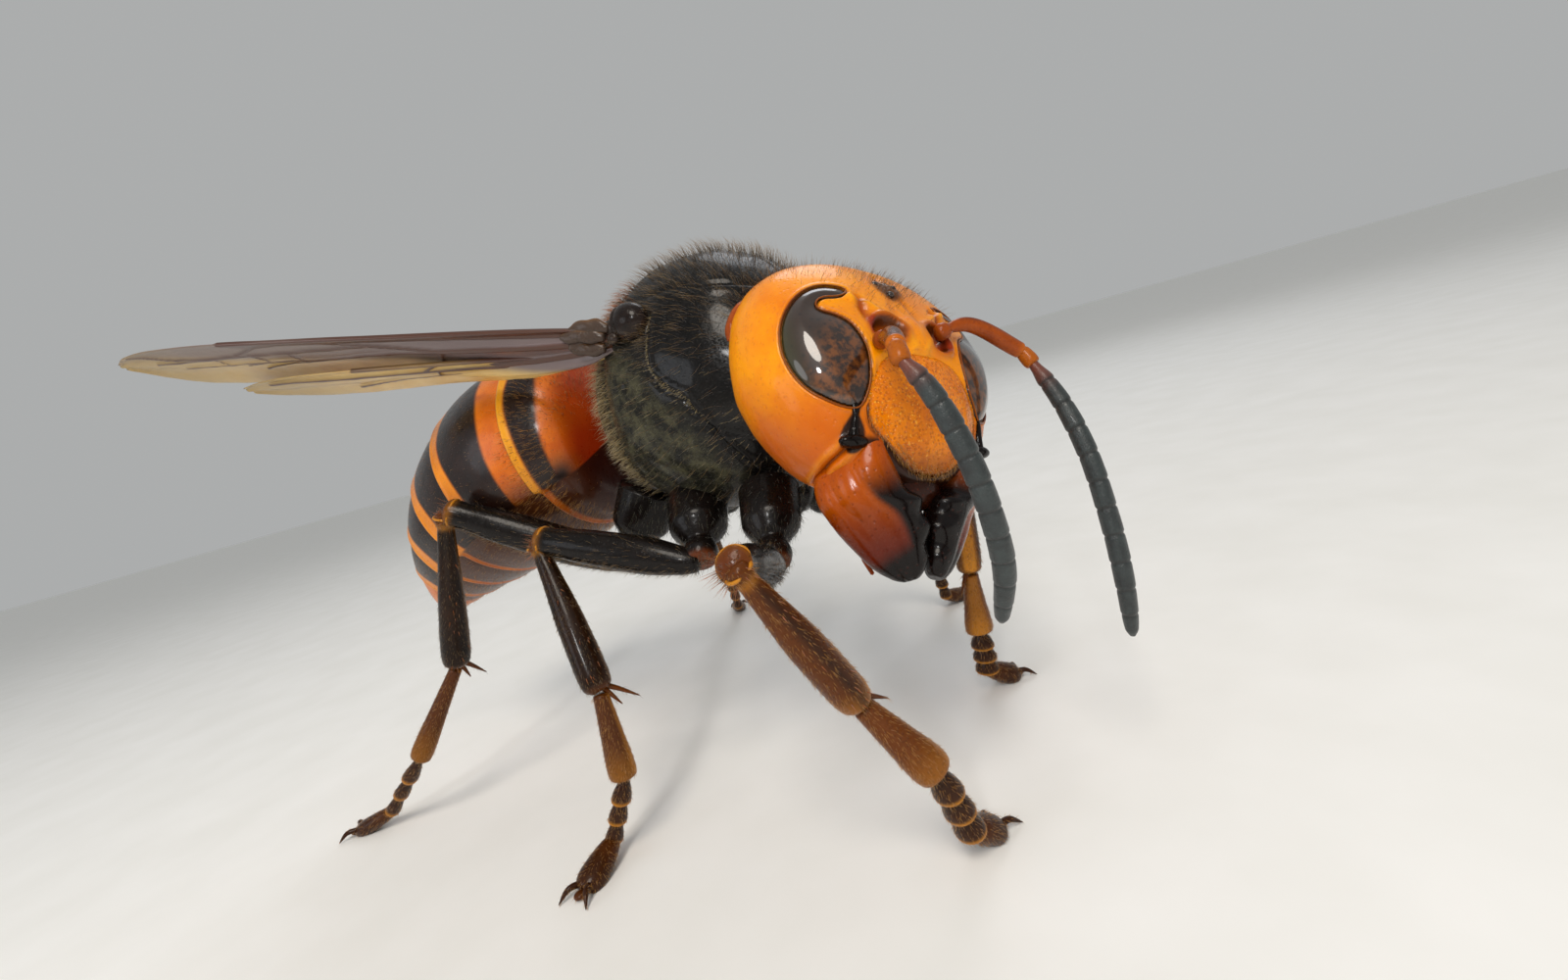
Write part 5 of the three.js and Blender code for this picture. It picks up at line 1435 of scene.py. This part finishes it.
def growCoat(name, roots, comb, length, radius, finish, stand, bend, jitter=0.18):
    # hairs from the roots: they stand off the skin and bend to the way that the coat is combed
    rng, normal, count = roots["rng"], roots["normal"], len(roots["point"])
    lie = comb(roots["home"]) if callable(comb) else np.tile(comb, (count, 1)).astype(float)
    lie = lie @ np.array(roots["place"].to_3x3()).T
    lie = unit(lie - normal * np.einsum("ij,ij->i", lie, normal)[:, None])
    aim = normal * stand + lie * (1 - stand) + rng.normal(size=(count, 3)) * jitter
    aim = unit(aim + normal * np.maximum(0, 0.15 - np.einsum("ij,ij->i", aim, normal))[:, None])
    side = unit(np.cross(aim, normal + lie * 0.3 + rng.normal(size=(count, 3)) * 0.3))
    front = np.cross(aim, side)
    t = hairPoints[:, 2][None, :, None]
    tall = (length * rng.uniform(*hair["tall"], count))[:, None, None]
    points = (roots["point"] - normal * hair["sunk"])[:, None] + aim[:, None] * t * tall
    points = points + (lie - aim)[:, None] * bend * t**2 * tall
    points = points + (side[:, None] * hairPoints[None, :, :1] + front[:, None] * hairPoints[None, :, 1:2]) * radius
    points[..., 2] = np.maximum(points[..., 2], hair["floor"])
    mesh = bpy.data.meshes.new(name)
    step, sizes = len(hairPoints), np.array([len(face) for face in hairFaces])
    loops = (np.concatenate(hairFaces)[None] + np.arange(count)[:, None] * step).ravel()
    mesh.vertices.add(count * step)
    mesh.loops.add(len(loops))
    mesh.polygons.add(count * len(sizes))
    mesh.vertices.foreach_set("co", points.ravel() * millimetre)
    mesh.loops.foreach_set("vertex_index", loops)
    mesh.polygons.foreach_set("loop_start", np.concatenate([[0], np.cumsum(np.tile(sizes, count))[:-1]]))
    mesh.update(calc_edges=True)
    # each hair's patch of the unwrap lies where its root is on the skin
    patch = roots["unwrap"][:, None] + hairPoints[None, :, :2] * hair["patch"]
    layer = mesh.uv_layers.new(name="OFBake")
    layer.data.foreach_set("uv", np.clip(patch, 0, 1).reshape(-1, 2)[loops].ravel())
    shade = np.clip(rng.normal(0.5, 0.25, count), 0, 1)
    markAll(mesh, tip=np.tile(hairPoints[:, 2], count), shade=np.repeat(shade, step))
    dressPiece(mesh, finish)


def hairFinish(name, root, tip, other):
    return layeredFinish(name, root, (("tip", 1, tip), ("shade", 0.7, other)), gloss=(0.3, 2, 0.32, 0.5),
                         sheenWeight=0.2, sheenRoughness=0.4)


goldHair = hairFinish("gold hair", "#7a4c14", "#e0a850", "#b87828")
paleHair = hairFinish("pale hair", "#6c5c34", "#d8c496", "#a08a58")
duskHair = hairFinish("dusk hair", "#2a1e10", "#b08c50", "#5a4224")
greyHair = hairFinish("grey down", "#26241a", "#6a6650", "#423e2e")
blackHair = hairFinish("black hair", "#0c0806", "#3a2414", "#1a100a")
rustHair = hairFinish("rust hair", "#6a300a", "#d0782a", "#984c14")


# The ways that the coats are combed, in the part's own frame
def backOnBody(home):
    # backwards and, on the flanks, down
    lie = np.zeros_like(home)
    lie[:, 0] = -1
    lie[:, 2] = -0.55 * rise(np.abs(home[:, 1]), 2.5, 4.5)
    return lie


def backOnAbdomen(home):
    _, side, up = abdomenAxis(np.clip((-(home[:, 0]) - 6.25) * 1.05, 0, 20))
    return np.cross(up, side)


downOnHead = (0.4, 0, -1)


# The share of the roots at every point of a skin, from its place and the way that it faces
def onFlank(p, n):
    m = thoraxMarks(p)
    return m["flank"] * rise(-m["side"], 0, 0.3) * rise(-p[:, 2], -3.4, -2.4) + 0.04


def onCollarLine(p, n):
    return (hump(thoraxMarks(p)["side"], 0.06, 0.12) * rise(np.abs(p[:, 1]), 2.6, 3.4) * rise(p[:, 2], -1.6, 0.4)
            * rise(-p[:, 2], -3.4, -2.8))


def onCollar(p, n):
    return (hump(thoraxMarks(p)["side"], 0.12, 0.1) * rise(np.abs(p[:, 1]), 2.2, 3.2)
            + 0.6 * rise(p[:, 0], 4.4, 5.0) * rise(-p[:, 2], -3.5, -2.0))


def onWingRoot(p, n):
    folded = np.abs(p * (0, 1, 0)) + p * (1, 0, 1)
    return hump(np.linalg.norm(folded - (-2.9, 3.2, 3.4), axis=1), 0, 1.1)


def onLip(p, n):
    edge = outlineDistance(p[:, 1], p[:, 2], clypeusLoop)[0]
    return rise(-p[:, 2], 1.2, 3.2) * rise(0.5 + edge, 0, 0.3) * (n[:, 0] > 0.2)


def bareOfEyes(p):
    m = headMarks(p)
    return rise(m["eye"], 0.15, 0.3) * rise(m["clypeus"], 0.1, 0.2) * rise(m["socket"], 0.7, 0.9)


# Coats by skin: name, finish, seed, count, length, radius, how far they stand and bend, and where they grow
bodyCoats = (
    (thoraxSkin, bodyPlace, backOnBody, "black_shell", (
        ("thorax_hair", duskHair, 1, 4600, 1.15, 0.0085, 0.8, 0.35,
         lambda p, n: rise(p[:, 2], 0.6, 3.2) * rise(-p[:, 0], -6.0, -4.4) + 0.15),
        ("thorax_down", greyHair, 2, 9500, 0.24, 0.009, 0.25, 0.4, onFlank),
        ("thorax_flank_hair", paleHair, 3, 500, 0.7, 0.0075, 0.6, 0.4,
         lambda p, n: rise(-p[:, 2], -1.5, 0.5) + 0.3 * rise(np.abs(p[:, 1]), 3, 4)),
        ("wing_root_hair", rustHair, 4, 700, 1.1, 0.011, 0.75, 0.3, onWingRoot),
        ("waist_fringe", paleHair, 5, 1500, 1.0, 0.01, 0.6, 0.35,
         lambda p, n: hump(thoraxMarks(p)["rear"], -0.5, 0.9) * rise(np.abs(p[:, 1]), 2.0, 3.2)),
        ("collar_row", paleHair, 15, 520, 0.24, 0.011, 0.5, 0.3, onCollarLine),
        ("collar_bristles", paleHair, 6, 260, 0.55, 0.013, 0.85, 0.2, onCollar),
    )),
    (headSkin, headPlace, downOnHead, "orange_shell", (
        ("crown_hair", blackHair, 7, 170, 0.5, 0.0075, 0.95, 0.2,
         lambda p, n: hump(np.linalg.norm(p - (2.1, 0, 3.5), axis=1), 0, 1.1) * bareOfEyes(p)),
        ("crown_mane", duskHair, 17, 420, 0.62, 0.006, 0.95, 0.2,
         lambda p, n: rise(p[:, 2], 2.8, 4.2) * rise(p[:, 0], -1.5, 0.5) * bareOfEyes(p)),
        ("head_fuzz", goldHair, 8, 3600, 0.14, 0.006, 0.75, 0.35,
         lambda p, n: bareOfEyes(p) * (0.2 + rise(p[:, 2], 1.0, 3.5)) * rise(p[:, 0], -2.8, -2.0)),
    )),
    (clypeusPlate, headPlace, downOnHead, "orange_shell", (
        ("clypeus_hair", goldHair, 9, 420, 0.36, 0.009, 0.5, 0.2, onLip),
    )),
    (abdomenSkin, bodyPlace, backOnAbdomen, "banded_shell", (
        ("waist_hair", goldHair, 10, 1900, 0.6, 0.01, 0.7, 0.4,
         lambda p, n: rise(p[:, 0], -9.4, -8.4) * rise(-p[:, 0], 6.6, 7.0)),
        ("belly_hair", goldHair, 11, 1500, 0.42, 0.009, 0.55, 0.5, lambda p, n: rise(-n[:, 2], 0.3, 0.6)),
        ("plate_hair", goldHair, 12, 6500, 0.2, 0.0075, 0.45, 0.4, lambda p, n: 0.4 + rise(-p[:, 0], 12, 20)),
    )),
)
for skin, place, comb, slot, rows in bodyCoats:
    for name, finish, seed, count, length, radius, stand, bend, weigh in rows:
        roots = rootsOn(skin, place, weigh, count, seed)
        growCoat(name, roots, comb, length, radius, finish, stand, bend)
print("body coat grown")


# Legs: fringes under the femora, bristles on the tibiae, and a pile that thickens towards the feet
def growLeg(name, pieces, index):
    root, trochanter, knee, ankle, _, fourth, _ = legJoints(name)
    outer = unit(np.cross(ankle - knee, (0.2, 1, 0.1)))
    shinHair = goldHair if name.startswith("front") else duskHair
    # part, kind, comb, finish, seed, then count, length and radius, stand and bend, jitter, and where they grow
    for part, kind, comb, finish, seed, (count, length, radius), (stand, bend), jitter, weigh in (
        ("coxa", "coxa_%s_hair", trochanter - root, greyHair, 44 + index * 8, (520, 0.5, 0.01), (0.35, 0.25), 0.18,
         lambda p, n: 0.5 + rise(-n[:, 2], -0.4, 0.4)),
        ("femur", "femur_%s_hair", knee - trochanter, duskHair, 45 + index * 8, (800, 0.42, 0.0095), (0.5, 0.25), 0.18,
         lambda p, n: 0.15 + rise(-n[:, 2], 0.1, 0.7)),
        ("tibia", "tibia_%s_hair", ankle - knee, shinHair, 45 + index * 8, (1150, 0.29, 0.009), (0.35, 0.25), 0.18,
         lambda p, n: np.ones(len(p))),
        ("tarsus", "tarsus_%s_hair", fourth - ankle, goldHair, 46 + index * 8, (2300, 0.26, 0.0095), (0.35, 0.25), 0.18,
         lambda p, n: np.ones(len(p))),
        ("femur", "knee_%s_bristles", knee - trochanter, rustHair, 70 + index, (46, 0.75, 0.012), (0.8, 0.1), 0.1,
         lambda p, n: hump(np.linalg.norm(p - knee, axis=1), 0.5, 0.3) * rise(n @ (-0.6, -0.4, -0.6), 0.0, 0.6)),
        ("tibia", "tibia_%s_spines", ankle - knee, rustHair, 90 + index, (34, 0.36, 0.024), (0.4, 0.1), 0.08,
         lambda p, n: rise(np.abs(n @ outer), 0.75, 0.95)),
    ):
        roots = rootsOn(pieces[part], floorPlace, weigh, count, seed)
        growCoat(kind % name, roots, comb, length, radius, finish, stand, bend, jitter)


for index, name in enumerate(legs):
    growLeg(name, legPieces[name], index)
print("leg coat grown")

# Floor and light: a plain pale floor under soft studio light
studio = {
    "floorSize": 6,
    "floor": (6, "#f8f7f4", "#f3f2ee", 0.3, 0.7, 3, 0.5),
    "air": "#eef0f0",
    "airStrength": 0.48,
    # name, place, what it is aimed at, size, power and tint
    "lights": (
        ("key", (0.088, -0.111, 0.18), (0.012, -0.003, 0.017), (0.08, 0.105), 0.235, "#fff6ea"),
        ("flash", (0.055, -0.085, 0.062), (0.012, -0.003, 0.017), (0.012, 0.012), 0.02, "#ffffff"),
        ("back", (-0.06, 0.16, 0.2), (0, 0, 0.015), (0.12, 0.12), 0.09, "#f4f8ff"),
        ("side", (-0.06, -0.2, 0.08), (0, 0, 0.015), (0.1, 0.1), 0.05, "#f4f8ff"),
    ),
}


def buildStudio():
    bm = bmesh.new()
    bmesh.ops.create_grid(bm, x_segments=8, y_segments=8, size=studio["floorSize"])
    mesh = meshFrom(bm, "floor")
    mesh.materials.append(layeredFinish("floor card", studio["floor"], roughness=0.75))
    addObject("floor", mesh)
    world = bpy.data.worlds.new("studio air")
    bpy.context.scene.world = world
    world.use_nodes = True
    backdrop = world.node_tree.nodes["Background"]
    backdrop.inputs[0].default_value = colour(studio["air"])
    backdrop.inputs[1].default_value = studio["airStrength"]
    for name, place, target, size, power, tint in studio["lights"]:
        data = bpy.data.lights.new(name, "AREA")
        data.shape = "ELLIPSE"
        data.size, data.size_y = size
        data.energy = power
        data.color = colour(tint)[:3]
        lamp = addObject(name, data)
        lamp.location = place
        lamp.rotation_mode = "QUATERNION"
        lamp.rotation_quaternion = (Vector(target) - Vector(place)).to_track_quat("-Z", "Y")
    bpy.context.scene.view_settings.view_transform = "Standard"


buildStudio()
print("studio made")
